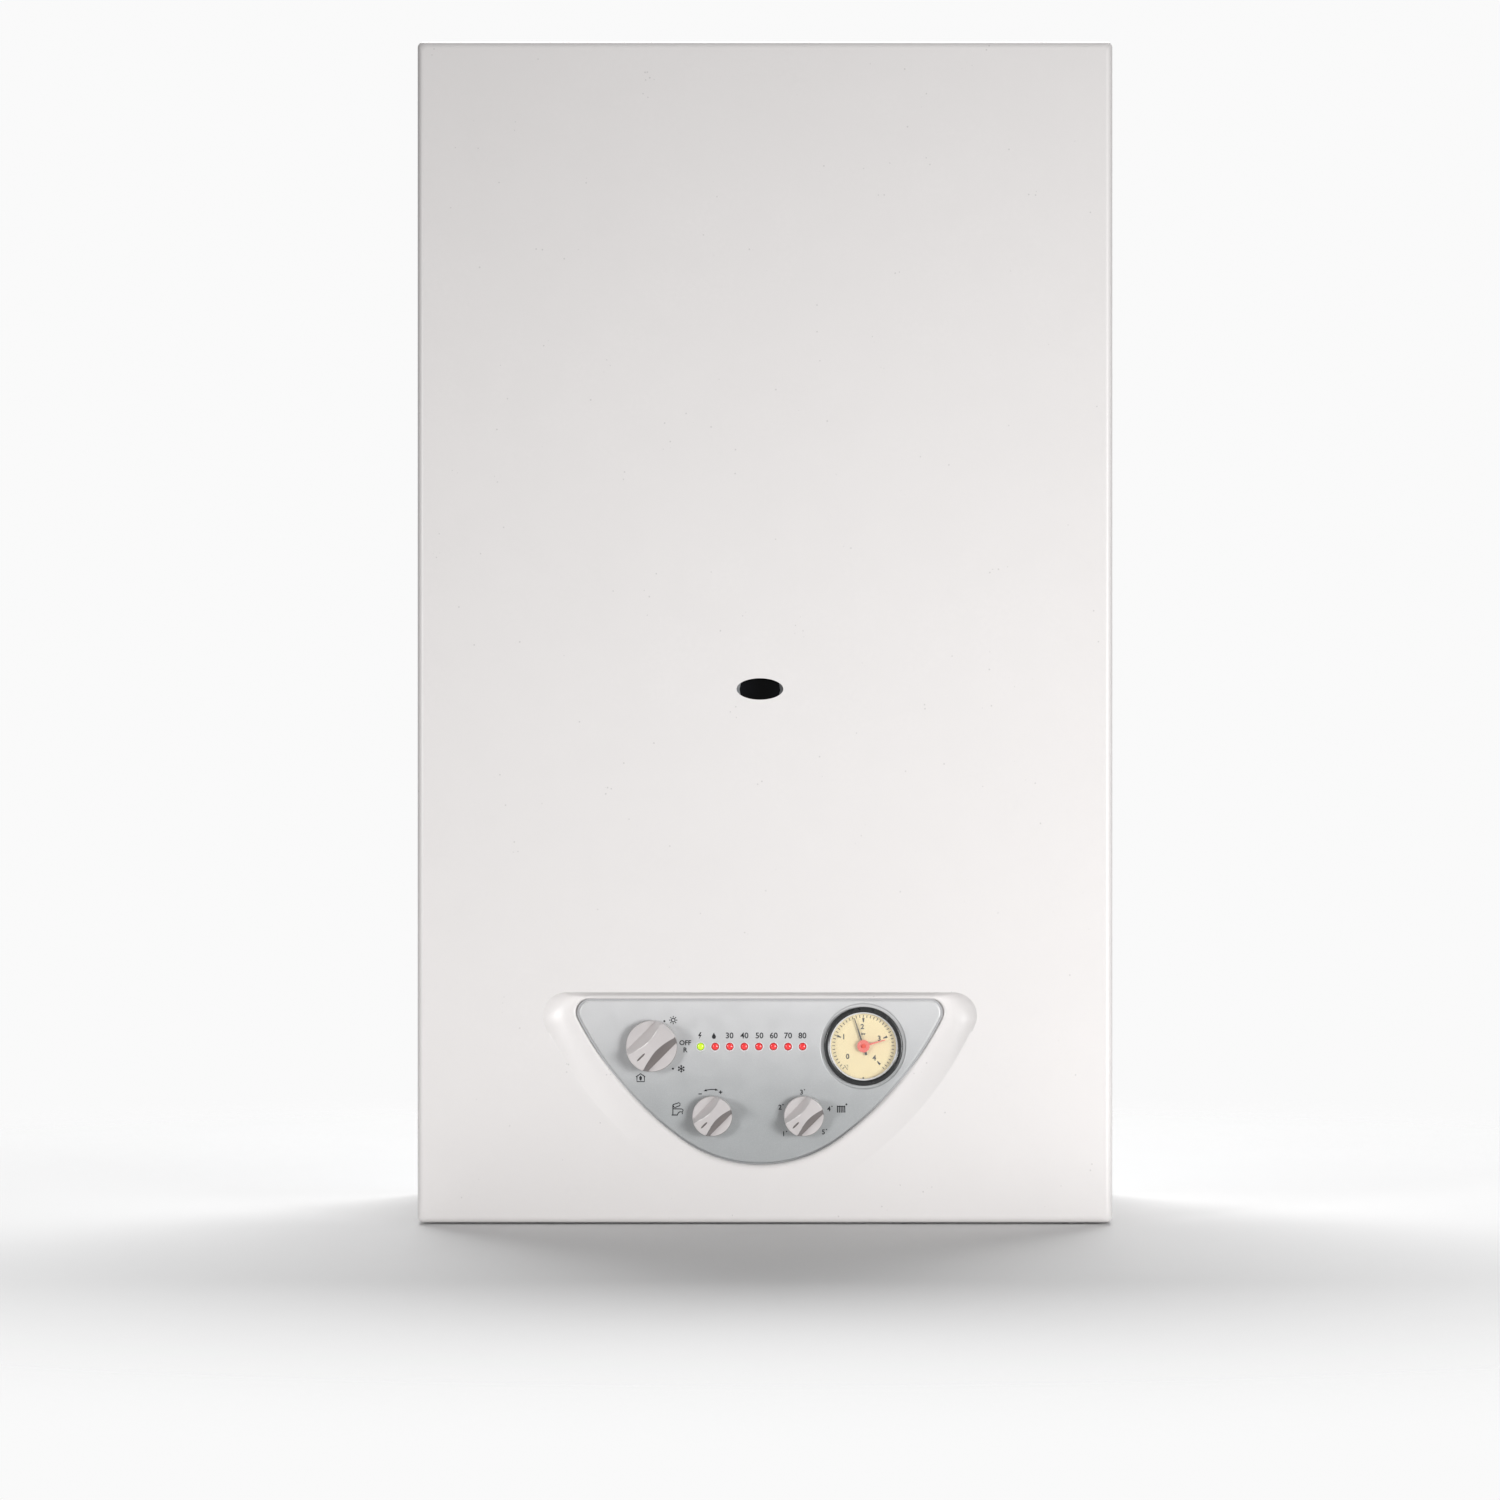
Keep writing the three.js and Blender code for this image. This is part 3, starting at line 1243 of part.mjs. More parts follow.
function pumpImpeller() {
  const back = pipeY + 9 - 1.5;
  const radius = voluteRadius - pumpWall - 5;
  const disc = rod('y', radius, [back - 12, back - 9], [0, 0, 0], 16);
  const shaft = rod('y', 4, [pumpFront - seat - 27, back - 10]);
  const vanes = Array.from({ length: 5 }, (_, i) => vane(
    i * (fullTurn / 5), [6, radius * 0.6, radius - 1.2], [0, -20, -50], 8, [back - 9.5, back],
  ));
  return join(disc, shaft, ...vanes);
}

function airVent() {
  const foot = pumpZ + voluteRadius + seat;
  return revolve('z', [
    [0, foot], [8, foot], [8, foot + 5], [12, foot + 7], [12, foot + 32], [10, foot + 35], [5, foot + 36],
    [5, foot + 42], [0, foot + 42],
  ]);
}

// Brazed stack of plates with four ports toward the castings.
function plateExchanger() {
  const front = pipeY + 10 + seat;
  const stubLength = 12;
  const plateFront = front + stubLength;
  const pitch = (-frameSheet - 12 - plateFront) / plateCount;
  const outline = (shrink) => roundedRect(
    [-plateHalf + shrink, plateHalf - shrink],
    [plateZ - plateTall / 2 + shrink, plateZ + plateTall / 2 - shrink], 16, 1,
  );
  const plates = Array.from({ length: plateCount }, (_, i) => {
    const y = plateFront + i * pitch;
    return slab(outline(0), [y, y + pitch * 0.55]);
  });
  const core = slab(outline(2), [plateFront, plateFront + plateCount * pitch]);
  const stubs = [-1, 1].flatMap((sx) => [-1, 1].map((sz) => rod(
    'y', 8, [front, plateFront + 1], [sx * portX, 0, plateZ + sz * portRise],
  )));
  return join(core, ...plates, ...stubs);
}

function safetyValve() {
  const back = pipeY - 18 - seat;
  const body = revolve('y', [
    [0, back], [10, back], [11, back - 4], [11, back - 22], [8, back - 26], [0, back - 26],
  ]);
  const drain = rod('z', 6, [-22, 0], [0, back - 12, 0]);
  return cut(join(body, drain), rod('y', spindleRadius + spin, [back - 30, back - 14]));
}

function safetyKnob() {
  const back = pipeY - 18 - seat - 26 - seat;
  const cap = rod('y', 12, [back - 14, back], [0, 0, 0], 12);
  const lobes = Array.from({ length: 6 }, (_, i) => {
    const angle = i * 60 * turn;
    return rod('y', 3, [back - 15, back + 1], [13 * Math.cos(angle), 0, 13 * Math.sin(angle)], 6);
  });
  return join(cut(cap, ...lobes), rod('y', spindleRadius, [back - 1, back + 10]));
}

function fillingKnob() {
  const top = plateHeight - 4;
  const cap = rod('z', 10, [top - 16, top], [0, 0, 0], 12);
  const flutes = Array.from({ length: 6 }, (_, i) => {
    const angle = i * 60 * turn;
    return rod('z', 3, [top - 17, top + 1], [11 * Math.cos(angle), 11 * Math.sin(angle), 0], 6);
  });
  const stem = rod('z', spindleRadius, [top - 1, tapSeat - seat]);
  return join(cut(cap, ...flutes), stem);
}

function gasValve() {
  const body = box([-30, 30], [gasValveY - 36, gasValveY + 34], [gasValveBottom, gasValveTop - 20]);
  const cheeks = box([-38, 38], [gasValveY - 20, gasValveY + 20], [gasValveBottom + 8, gasValveTop - 28]);
  const outlet = rod('z', 12, [gasValveTop - 21, gasValveTop], [0, gasValveY, 0]);
  const coils = [-15, 15].map((x) => rod(
    'y', 11, [gasValveY - 52, gasValveY - 34], [x, 0, gasValveBottom + 20], 12,
  ));
  const regulator = rod('y', 7, [gasValveY - 48, gasValveY - 34], [0, 0, gasValveBottom + 40]);
  return join(body, cheeks, outlet, ...coils, regulator);
}

// Water pipe between a casting and the heat exchanger, on the left or right side.
function riser(side, foot) {
  const x = side * 2 * pipePitch;
  const high = (exchangerBottom + exchangerTop) / 2;
  return pipe([
    [x, pipeY, foot + seat], [x, pipeY, riserTurn], [x, heartY, riserTurn], [x, heartY, high],
    [side * (heartHalf + 10 + seat), heartY, high],
  ], riserRadius, 18);
}

function burnerGasPipe() {
  const top = burnerTop - bladeTall - burnerTray + 9 - 6 - seat;
  return pipe([
    [0, gasValveY, gasValveTop + seat], [0, gasValveY, gasTurn],
    [0, manifoldY, gasTurn], [0, manifoldY, top],
  ], gasRadius, 12);
}

function vesselPipe() {
  const start = caseHeight - vesselBelowTop - vesselRadius - 8 - seat;
  const end = plateZ + portRise + 14 + seat;
  const level = 215;
  return pipe([
    [vesselPortX, -vesselFromWall, start], [vesselPortX, -vesselFromWall, level],
    [portX, -vesselFromWall, level],
    [portX, pipeY, level], [portX, pipeY, end],
  ], 4.5, 14, 6);
}

// ---------------------------------------------------------------- assembly

add('back_frame', 'zincSheet', backFrame());
add('side_panel_left', 'panelPaint', sidePanel(-1));
add('side_panel_right', 'panelPaint', sidePanel(1));
add('top_panel', 'panelPaint', topPanel());
add('bottom_plate', 'zincSheet', bottomPlate());
add('front_cover', 'coverPaint', frontCover());

add('chamber_box', 'zincSheet', chamberBox());
add('chamber_gasket', 'rubberGrey', chamberGasket());
add('chamber_lid', 'zincSheet', chamberLid());
add('sight_glass', 'sightLens', sightGlass());
add('combustion_chamber', 'aluminisedSheet', combustionChamber());
add('combustion_lining', 'ceramicFibre', combustionLining());
add('burner', 'steel', burner());
add('gas_manifold', 'aluminisedSheet', gasManifold());
add('spark_electrode', 'ceramicWhite', electrode(6), [-electrodeX, 0, 0]);
add('flame_probe', 'ceramicWhite', electrode(-6), [electrodeX, 0, 0]);
add('heat_exchanger', 'copper', heatExchanger());
add('flue_hood', 'aluminisedSheet', flueHood());
add('fan_housing', 'aluminisedSheet', fanHousing());
add('fan_impeller', 'steel', fanImpeller(), [fanX, 0, fanZ]);
add('fan_motor', 'blackPlastic', fanMotor(), [fanX, 0, fanZ]);
add('flue_collar', 'castAluminium', flueCollar(), [0, flueY, 0]);
add('air_pressure_switch', 'darkPlastic', airPressureSwitch(), [chamberHalf - switchInset, 0, fanZ + 8]);
add('expansion_vessel', 'vesselRed', expansionVessel(), [0, -vesselFromWall, caseHeight - vesselBelowTop]);

add('diverter_body', 'brass', diverterBody());
add('diverter_spindle', 'steel', diverterSpindle());
add('diverter_motor', 'blackPlastic', diverterMotor());
add('pump_body', 'brass', pumpBody());
add('pump_motor', 'castAluminium', pumpMotor(), [2 * pipePitch, 0, pumpZ]);
add('pump_impeller', 'darkPlastic', pumpImpeller(), [2 * pipePitch, 0, pumpZ]);
add('air_vent', 'brass', airVent(), [2 * pipePitch + ventAside, pipeY, 0]);
add('plate_exchanger', 'steel', plateExchanger());
add('safety_valve', 'brass', safetyValve(), [2 * pipePitch, 0, safetyZ]);
add('safety_knob', 'valveRed', safetyKnob(), [2 * pipePitch, 0, safetyZ]);
add('filling_knob', 'tapBlue', fillingKnob(), [fillingX, pipeY, 0]);
add('gas_valve', 'castAluminium', gasValve());
add('flow_pipe', 'copper', riser(-1, diverterTop));
add('return_pipe', 'copper', riser(1, outletTop));
add('burner_gas_pipe', 'copper', burnerGasPipe());
add('vessel_pipe', 'copper', vesselPipe());

const tails = ['heating_flow', 'hot_water', 'gas', 'cold_water', 'heating_return'];
tails.forEach((name, i) => {
  const [thread, bore] = isSmallPipe(i) ? [smallThread, smallBore] : [largeThread, largeBore];
  const top = name === 'gas' ? gasValveBottom - seat : tailTop;
  add(`${name}_tail`, 'brass', pipeTail(thread, bore, top), [pipeXs()[i], pipeY, 0]);
});

add('control_box', 'darkPlastic', controlBoxSolid());
add('control_board', 'boardGreen', controlBoard());
add('indicator_lights', 'lampRed', indicatorLights());
add('fascia', 'silverPlastic', fascia());

const gripTilt = 45; // grips run from lower left to upper right, the pointer end at lower left
const knobs = [['selector', selectorRadius], ['hot_water', smallKnobRadius], ['heating', smallKnobRadius]];
knobs.forEach(([name, radius], i) => {
  const [x, z] = knobPlaces()[i];
  const place = [x, fasciaY - knobStandoff, z];
  add(`${name}_knob`, 'knobSilver', knob(radius), place, -gripTilt);
  add(`${name}_spindle`, 'steel', spindle(), place);
});

const gaugeAt = [frontOffset + gaugeX, fasciaY, gaugeZ];
add('gauge_case', 'bezelGrey', gaugeCaseSolid(), gaugeAt);
add('gauge_dial', 'creamPaint', gaugeDial(), gaugeAt);
add('gauge_needle', 'needleBlack', gaugeNeedle(), gaugeAt, needleAngle);
add('gauge_marker', 'markerRed', gaugeMarker(), gaugeAt, markerAngle);
add('gauge_lens', 'clearLens', gaugeLens(), gaugeAt);

export default boiler;
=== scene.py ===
import math

import bmesh
import bpy
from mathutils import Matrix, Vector
from mathutils.geometry import tessellate_polygon


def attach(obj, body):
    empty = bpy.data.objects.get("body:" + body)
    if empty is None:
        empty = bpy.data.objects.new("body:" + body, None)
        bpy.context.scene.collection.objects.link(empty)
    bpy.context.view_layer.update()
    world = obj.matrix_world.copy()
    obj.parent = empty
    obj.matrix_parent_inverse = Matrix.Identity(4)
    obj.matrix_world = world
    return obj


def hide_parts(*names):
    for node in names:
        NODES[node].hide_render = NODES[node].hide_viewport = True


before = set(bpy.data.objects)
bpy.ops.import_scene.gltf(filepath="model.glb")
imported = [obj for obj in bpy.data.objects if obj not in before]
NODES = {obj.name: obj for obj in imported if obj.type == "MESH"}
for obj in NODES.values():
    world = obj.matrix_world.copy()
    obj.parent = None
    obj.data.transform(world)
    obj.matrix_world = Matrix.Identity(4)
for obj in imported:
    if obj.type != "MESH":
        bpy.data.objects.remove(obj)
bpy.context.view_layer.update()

# Lengths here are in millimetres, with x to the right, y towards the wall and z up from the
# casing's lower edge. The frame's origin is the hang point on the wall.
HANG = 688.0
HALF = 220.0
TALL = 748.0
FACE = -240.0
COVER_BACK = -202.0
COVER_FOLD = 4.5
COVER_CORNER = 3.0
SHEET = 1.2
FRONT_X = -3.2
FASCIA = -235.0
FASCIA_TOP = 140.5
FASCIA_FOOT = 37.3
FASCIA_RIM = 10.0
FASCIA_SIDE = 4.0
FASCIA_EDGE = 1.2
BORE_DEPTH = 2.4
ARCH = 84.0
ARCH_ANGLE = math.radians(36)
FLANK = 210.0
CORNER = 7.6
DISH_DEPTH = 7.0
DISH_MARGIN = 22.0
DISH_TOP = 5.5
DISH_CORNER = 15.0
DISH_WALL = 17.0
DISH_TOP_WALL = 3.9
LIP = 3.0
GAP = 0.6
SIGHT_WIDE, SIGHT_TALL, SIGHT_Z = 29.5, 13.6, 337.9
SLEEVE_OUT, SLEEVE_IN, SLEEVE_SQUASH = 17.4, 14.6, 0.62
FLANGE_GAP, FLANGE_REACH, FLANGE_END, FLANGE_CORNER = 0.2, 15.2, 45.0, 1.5
STUD_INSET, STUD_END, STUD_HOLE = 8.7, 90.0, 3.3
KNOB_TALL = 14.0
KNOB_CLEARANCE = 1.0
KNOB_TILT = math.radians(45)
KNOB_FALL = 2.2
POINTER_HALF = 0.55
SPINDLE_HOLE = 4.0
KNOBS = {
    "selector": (FRONT_X - 68.5, 112.0, 16.2),
    "hot_water": (FRONT_X - 30.1, 67.7, 12.65),
    "heating": (FRONT_X + 27.8, 67.7, 12.65),
}
# The rest of a knob's shape, as shares of its radius, and STEP as a share of its height.
WAIST, WAIST_END, FOOT, STEP = 0.235, 0.44, 0.59, 0.45
POINTER_START, POINTER_END = 0.8, 0.36
LAMP_FIRST, LAMP_PITCH, LAMP_COUNT, LAMP_RADIUS = FRONT_X - 37.6, 9.23, 8, 2.1
LAMPS = [LAMP_FIRST + LAMP_PITCH * i for i in range(LAMP_COUNT)]
LAMP_Z = 111.4
GAUGE = (FRONT_X + 65.6, 111.6)
BEZEL = 25.05
DIAL = 21.6
DIAL_BACK = 3.46
CASE_RADIUS, CASE_DEPTH, CASE_BORE = 23.1, 16.0, 1.4
LID = -215.2
LID_SCREW_X, LID_SCREW_Y = 193.0, -210.2
LID_SCREW_LOW, LID_SCREW_TOP = 262.0, 726.0
QUARTER = math.pi / 2
OUT = (0, -1, 0)


def metres(point):
    x, y, z = point
    return (x / 1000, y / 1000, (z - HANG) / 1000)


# ------------------------------------------------------------------ materials


class Finish:
    """A procedural material, and the short calls that wire its nodes."""

    def __init__(self, name, base, rough, metal=0.0, **sockets):
        self.material = bpy.data.materials.new(name)
        self.material.use_nodes = True
        self.tree = self.material.node_tree
        self.shader = self.tree.nodes["Principled BSDF"]
        self.base = (*base, 1.0)
        self.rough = rough
        self.shader.inputs["Base Color"].default_value = self.base
        self.shader.inputs["Roughness"].default_value = rough
        self.shader.inputs["Metallic"].default_value = metal
        for key, value in sockets.items():
            self.shader.inputs[key.replace("_", " ")].default_value = value
        self.place = self.node("ShaderNodeTexCoord").outputs["Object"]
        self.colour = None
        self.normal = None

    def node(self, kind, **inputs):
        made = self.tree.nodes.new(kind)
        for key, value in inputs.items():
            socket = made.inputs[key.replace("_", " ")]
            if isinstance(value, bpy.types.NodeSocket):
                self.tree.links.new(value, socket)
            else:
                socket.default_value = value
        return made

    def stretched(self, stretch):
        return self.node("ShaderNodeMapping", Vector=self.place, Scale=stretch).outputs["Vector"]

    def noise(self, scale, detail=2.0, stretch=None, rough=0.5):
        place = self.stretched(stretch) if stretch else self.place
        made = self.node("ShaderNodeTexNoise", Vector=place, Scale=scale, Detail=detail, Roughness=rough)
        return made.outputs["Fac"]

    def cells(self, scale, feature="F1", output="Distance"):
        made = self.node("ShaderNodeTexVoronoi", Vector=self.place, Scale=scale)
        made.feature = feature
        return made.outputs[output]

    def along(self, axis):
        return self.node("ShaderNodeSeparateXYZ", Vector=self.place).outputs[axis]

    def spread(self, value, low, high, to_low=0.0, to_high=1.0):
        made = self.node("ShaderNodeMapRange", Value=value)
        made.interpolation_type = "SMOOTHSTEP"
        for index, number in ((1, low), (2, high), (3, to_low), (4, to_high)):
            made.inputs[index].default_value = number
        return made.outputs["Result"]

    def tint(self, share, colour):
        """Paints colour over what is there, where share is high."""
        made = self.tree.nodes.new("ShaderNodeMix")
        made.data_type = "RGBA"
        self.tree.links.new(share, made.inputs["Factor"])
        if self.colour is None:
            made.inputs["A"].default_value = self.base
        else:
            self.tree.links.new(self.colour, made.inputs["A"])
        made.inputs["B"].default_value = (*colour, 1.0)
        self.colour = made.outputs["Result"]
        self.tree.links.new(self.colour, self.shader.inputs["Base Color"])
        return self

    def darker(self, share):
        return tuple(c * share for c in self.base[:3])

    def mottle(self, scale, amount, detail=3.0, stretch=None):
        """Lets the tone stray by amount, in patches of 1/scale metres."""
        wave = self.noise(scale, detail, stretch)
        return self.tint(self.spread(wave, 0.35, 0.65), self.darker(1 - amount))

    def specks(self, scale, share, colour):
        """Scattered fine dots of another colour, share of them showing."""
        near = self.spread(self.cells(scale), 0.1, 0.16, 1.0, 0.0)
        chosen = self.spread(self.noise(scale * 0.31, 0.0), 1 - share, 1.02 - share)
        both = self.node("ShaderNodeMath")
        both.operation = "MULTIPLY"
        self.tree.links.new(near, both.inputs[0])
        self.tree.links.new(chosen, both.inputs[1])
        return self.tint(both.outputs["Value"], colour)

    def gloss(self, scale, amount):
        """Lets the roughness stray by amount to each side, in patches of 1/scale metres."""
        low, high = max(self.rough - amount, 0.02), min(self.rough + amount, 1.0)
        wave = self.spread(self.noise(scale), 0.3, 0.7, low, high)
        self.tree.links.new(wave, self.shader.inputs["Roughness"])
        return self

    def bump(self, height, depth):
        """Relief whose full height is depth millimetres."""
        made = self.node("ShaderNodeBump", Height=height, Strength=1.0, Distance=depth / 1000)
        if self.normal is not None:
            self.tree.links.new(self.normal, made.inputs["Normal"])
        self.normal = made.outputs["Normal"]
        self.tree.links.new(self.normal, self.shader.inputs["Normal"])
        return self


def powder_coat(name, base):
    """Sprayed and baked paint: orange peel, a faint mottle and a few darker specks."""
    made = Finish(name, base, 0.42, Coat_Weight=0.15, Coat_Roughness=0.25)
    made.mottle(7, 0.022).mottle(45, 0.012).mottle(300, 0.012)
    made.specks(240, 0.3, made.darker(0.8))
    made.gloss(40, 0.025)
    made.bump(made.noise(520, 2.0), 0.02)
    made.bump(made.noise(2600, 1.0), 0.004)
    return made


def silver_paint():
    """Metallic paint on plastic with a fine flake, made paler towards the panel's top by a painted
    highlight.
    """
    sheen = {"Coat_Weight": 0.2, "Coat_Roughness": 0.3}
    made = Finish("silver_paint", (0.4, 0.415, 0.42), 0.42, 0.2, **sheen)
    # Painted highlight: the paint is lightened towards the panel's top, as if lit from above.
    made.tint(made.spread(made.along("Z"), -0.63, -0.54), (0.65, 0.65, 0.655))
    flakes = made.cells(5200, output="Color")
    grey = made.node("ShaderNodeSeparateColor", Color=flakes).outputs["Red"]
    made.tint(made.spread(grey, 0.6, 1.0, 0.0, 0.16), (0.8, 0.8, 0.81))
    made.gloss(90, 0.05)
    made.bump(made.noise(3000, 2.0), 0.004)
    return made


def moulded(name, base, rough, metal=0.0, grain=1800, depth=0.01, stray=0.05, **sockets):
    """Moulded plastic: fine grain, faint flow lines and rubbed patches."""
    made = Finish(name, base, rough, metal, **sockets)
    made.mottle(70, stray).mottle(420, stray * 0.8, 2.0, (1, 1, 3))
    made.gloss(120, rough * 0.08)
    made.bump(made.noise(grain, 3.0), depth)
    return made


def rolled_sheet(name, base, spangle, rough=0.38):
    """Coated steel sheet: crystals of the coating, rolling lines and duller patches."""
    made = Finish(name, base, rough, 1.0)
    crystals = made.cells(spangle, output="Color")
    grey = made.node("ShaderNodeSeparateColor", Color=crystals).outputs["Green"]
    made.tint(made.spread(grey, 0.0, 1.0, 0.0, 0.45), made.darker(0.75))
    made.mottle(6, 0.1)
    made.gloss(spangle * 0.2, 0.025)
    made.bump(made.noise(900, 2.0, (1, 1, 0.08)), 0.006)
    return made


def cast_metal(name, base, rough):
    """Sand or die casting: a rough skin, darker in its hollows."""
    made = Finish(name, base, rough, 1.0)
    skin = made.noise(500, 5.0, None, 0.65)
    made.tint(made.spread(skin, 0.55, 0.3, 0.0, 0.5), made.darker(0.6))
    made.mottle(25, 0.12)
    made.gloss(80, 0.1)
    made.bump(skin, 0.12)
    return made


def drawn_metal(name, base, rough, tarnish):
    """Drawn or turned metal: upright lines, tarnish in patches and uneven gloss."""
    made = Finish(name, base, rough, 1.0)
    lines = made.noise(240, 3.0, (6, 6, 0.6))
    made.mottle(14, 0.14)
    made.tint(made.spread(made.noise(38, 4.0), 0.52, 0.75, 0.0, 0.6), tarnish)
    made.gloss(60, 0.1)
    made.bump(lines, 0.02)
    return made


def fibre_board():
    """Pressed ceramic fibre: a pale felt with slightly darker strands standing up from it."""
    made = Finish("ceramic_fibre", (0.79, 0.75, 0.66), 0.95)
    fibres = made.noise(260, 6.0, (1, 1, 5), 0.7)
    made.tint(made.spread(fibres, 0.45, 0.7, 0.0, 0.6), (0.55, 0.5, 0.42))
    made.bump(fibres, 0.6)
    return made


def circuit_board():
    """Solder-masked board, whose tracks show paler under the mask."""
    made = Finish("board", (0.03, 0.14, 0.06), 0.35, Coat_Weight=0.3)
    tracks = made.cells(190, "DISTANCE_TO_EDGE")
    made.tint(made.spread(tracks, 0.02, 0.05, 0.7, 0.0), (0.07, 0.3, 0.13))
    made.mottle(40, 0.15)
    made.bump(made.spread(tracks, 0.02, 0.05, 1.0, 0.0), 0.05)
    return made


def clear_lens():
    """Thin clear plastic, which lets light straight through and shows only its sheen."""
    made = Finish("clear_lens", (0.97, 0.975, 0.97), 0.06, Alpha=0.07, IOR=1.6)
    made.mottle(150, 0.03)
    made.gloss(220, 0.03)
    made.bump(made.noise(900, 1.0), 0.002)
    return made


def lamp_glow():
    """Tinted lenses that glow a little: the first is yellow-green, the others red."""
    made = Finish("lamp_plastic", (0.76, 0.03, 0.035), 0.22, Coat_Weight=0.5, Coat_Roughness=0.1)
    between = (LAMP_FIRST + LAMP_PITCH / 2) / 1000
    first = made.spread(made.along("X"), between - 0.0005, between + 0.0005, 1.0, 0.0)
    made.tint(first, (0.58, 0.9, 0.02))
    made.tint(made.spread(made.noise(1500), 0.45, 0.7, 0.0, 0.12), (0.95, 0.5, 0.4))
    made.shader.inputs["Emission Strength"].default_value = 0.25
    made.tree.links.new(made.colour, made.shader.inputs["Emission Color"])
    made.bump(made.noise(1400), 0.01)
    return made


def printed_ink(name, base):
    """Pad-printed ink: thin and slightly uneven, with paler pinholes."""
    made = Finish(name, base, 0.5)
    made.mottle(900, 0.2)
    made.tint(made.spread(made.noise(4200, 3.0), 0.7, 0.76, 0.0, 0.4), (0.3, 0.3, 0.3))
    made.bump(made.noise(3000), 0.003)
    return made


def knob_plastic():
    """Metallised plastic, bright but for the flank that leans right and down, which is darkened by
    painted shade.
    """
    sheen = {"stray": 0.015, "Coat_Weight": 0.25, "Coat_Roughness": 0.25}
    made = moulded("knob_plastic", (0.74, 0.7, 0.695), 0.3, 0.35, 2600, 0.003, **sheen)
    # Painted shade: faces that lean right and down are darkened, as if turned away from the light.
    facing = made.node("ShaderNodeTexCoord").outputs["Normal"]
    shade_lean = made.node("ShaderNodeVectorMath", Vector=facing)
    shade_lean.operation = "DOT_PRODUCT"
    shade_lean.inputs[1].default_value = (0.7, 0, -0.7)
    made.tint(made.spread(shade_lean.outputs["Value"], 0.2, 0.75, 0.0, 0.9), (0.19, 0.165, 0.16))
    return made


FINISHES = {
    "white_paint": powder_coat("white_paint", (0.79, 0.765, 0.755)),
    "zinc_sheet": rolled_sheet("zinc_sheet", (0.6, 0.62, 0.635), 110),
    "aluminised_sheet": rolled_sheet("aluminised_sheet", (0.66, 0.67, 0.68), 420, 0.33),
    "cast_aluminium": cast_metal("cast_aluminium", (0.55, 0.56, 0.56), 0.5),
    "silver_plastic": silver_paint(),
    "knob_plastic": knob_plastic(),
    "dark_plastic": moulded("dark_plastic", (0.035, 0.036, 0.038), 0.5),
    "bezel_plastic": moulded("bezel_plastic", (0.024, 0.025, 0.026), 0.28, Coat_Weight=0.4),
    "dial_paint": moulded("dial_paint", (0.87, 0.735, 0.43), 0.6, 0.0, 2400, 0.003, 0.03),
    "needle_paint": moulded("needle_paint", (0.012, 0.012, 0.014), 0.4),
    "marker_plastic": moulded("marker_plastic", (0.87, 0.15, 0.11), 0.35),
    "lamp_plastic": lamp_glow(),
    "clear_lens": clear_lens(),
    "ceramic_fibre": fibre_board(),
    "electrode_ceramic": moulded("electrode_ceramic", (0.86, 0.83, 0.77), 0.15, Coat_Weight=0.6),
    "steel": drawn_metal("steel", (0.62, 0.63, 0.64), 0.3, (0.4, 0.38, 0.36)),
    "copper": drawn_metal("copper", (0.82, 0.42, 0.26), 0.28, (0.38, 0.16, 0.08)),
    "brass": drawn_metal("brass", (0.74, 0.54, 0.22), 0.3, (0.42, 0.27, 0.09)),
    "vessel_paint": powder_coat("vessel_paint", (0.36, 0.035, 0.025)),
    "seal_rubber": moulded("seal_rubber", (0.045, 0.046, 0.048), 0.75, 0.0, 700, 0.06),
    "board": circuit_board(),
    "valve_knob": moulded("valve_knob", (0.46, 0.03, 0.022), 0.42),
    "tap_knob": moulded("tap_knob", (0.025, 0.07, 0.26), 0.42),
}
# Painted shade: near-black glass, so the sight hole shows the dark of the unlit chamber.
SIGHT_SHADE = moulded("sight_glass_shade", (0.008, 0.009, 0.012), 0.08, 0.0, 900, 0.002)
INK = printed_ink("print_ink", (0.012, 0.012, 0.016))
FAINT_INK = printed_ink("print_faint", (0.07, 0.06, 0.045))
# Painted shade: the dark of the knobs' pointer grooves, laid on the crest as a strip.
GROOVE_SHADE = moulded("painted_groove_shade", (0.16, 0.14, 0.135), 0.5)
SEAL = moulded("panel_seal", (0.42, 0.42, 0.43), 0.5)
HALO = moulded("lamp_halo", (0.78, 0.78, 0.79), 0.35)


# ------------------------------------------------------------------ pieces


def soften(obj, sharp, weighted=True):
    mesh = obj.data
    mesh.shade_smooth()
    mesh.set_sharp_from_angle(angle=math.radians(sharp))
    if weighted:
        even = obj.modifiers.new("even_shading", "WEIGHTED_NORMAL")
        even.mode = "FACE_AREA"
        even.keep_sharp = True


def reshape(obj, work):
    shape = bmesh.new()
    shape.from_mesh(obj.data)
    work(shape)
    shape.to_mesh(obj.data)
    shape.free()


def agree(shape, towards=None):
    """Makes the faces agree. On an open skin the largest then looks towards a direction."""
    bmesh.ops.recalc_face_normals(shape, faces=shape.faces)
    if towards is None:
        return
    biggest = max(shape.faces, key=lambda face: face.calc_area())
    if biggest.normal.dot(Vector(towards)) < 0:
        bmesh.ops.reverse_faces(shape, faces=shape.faces)


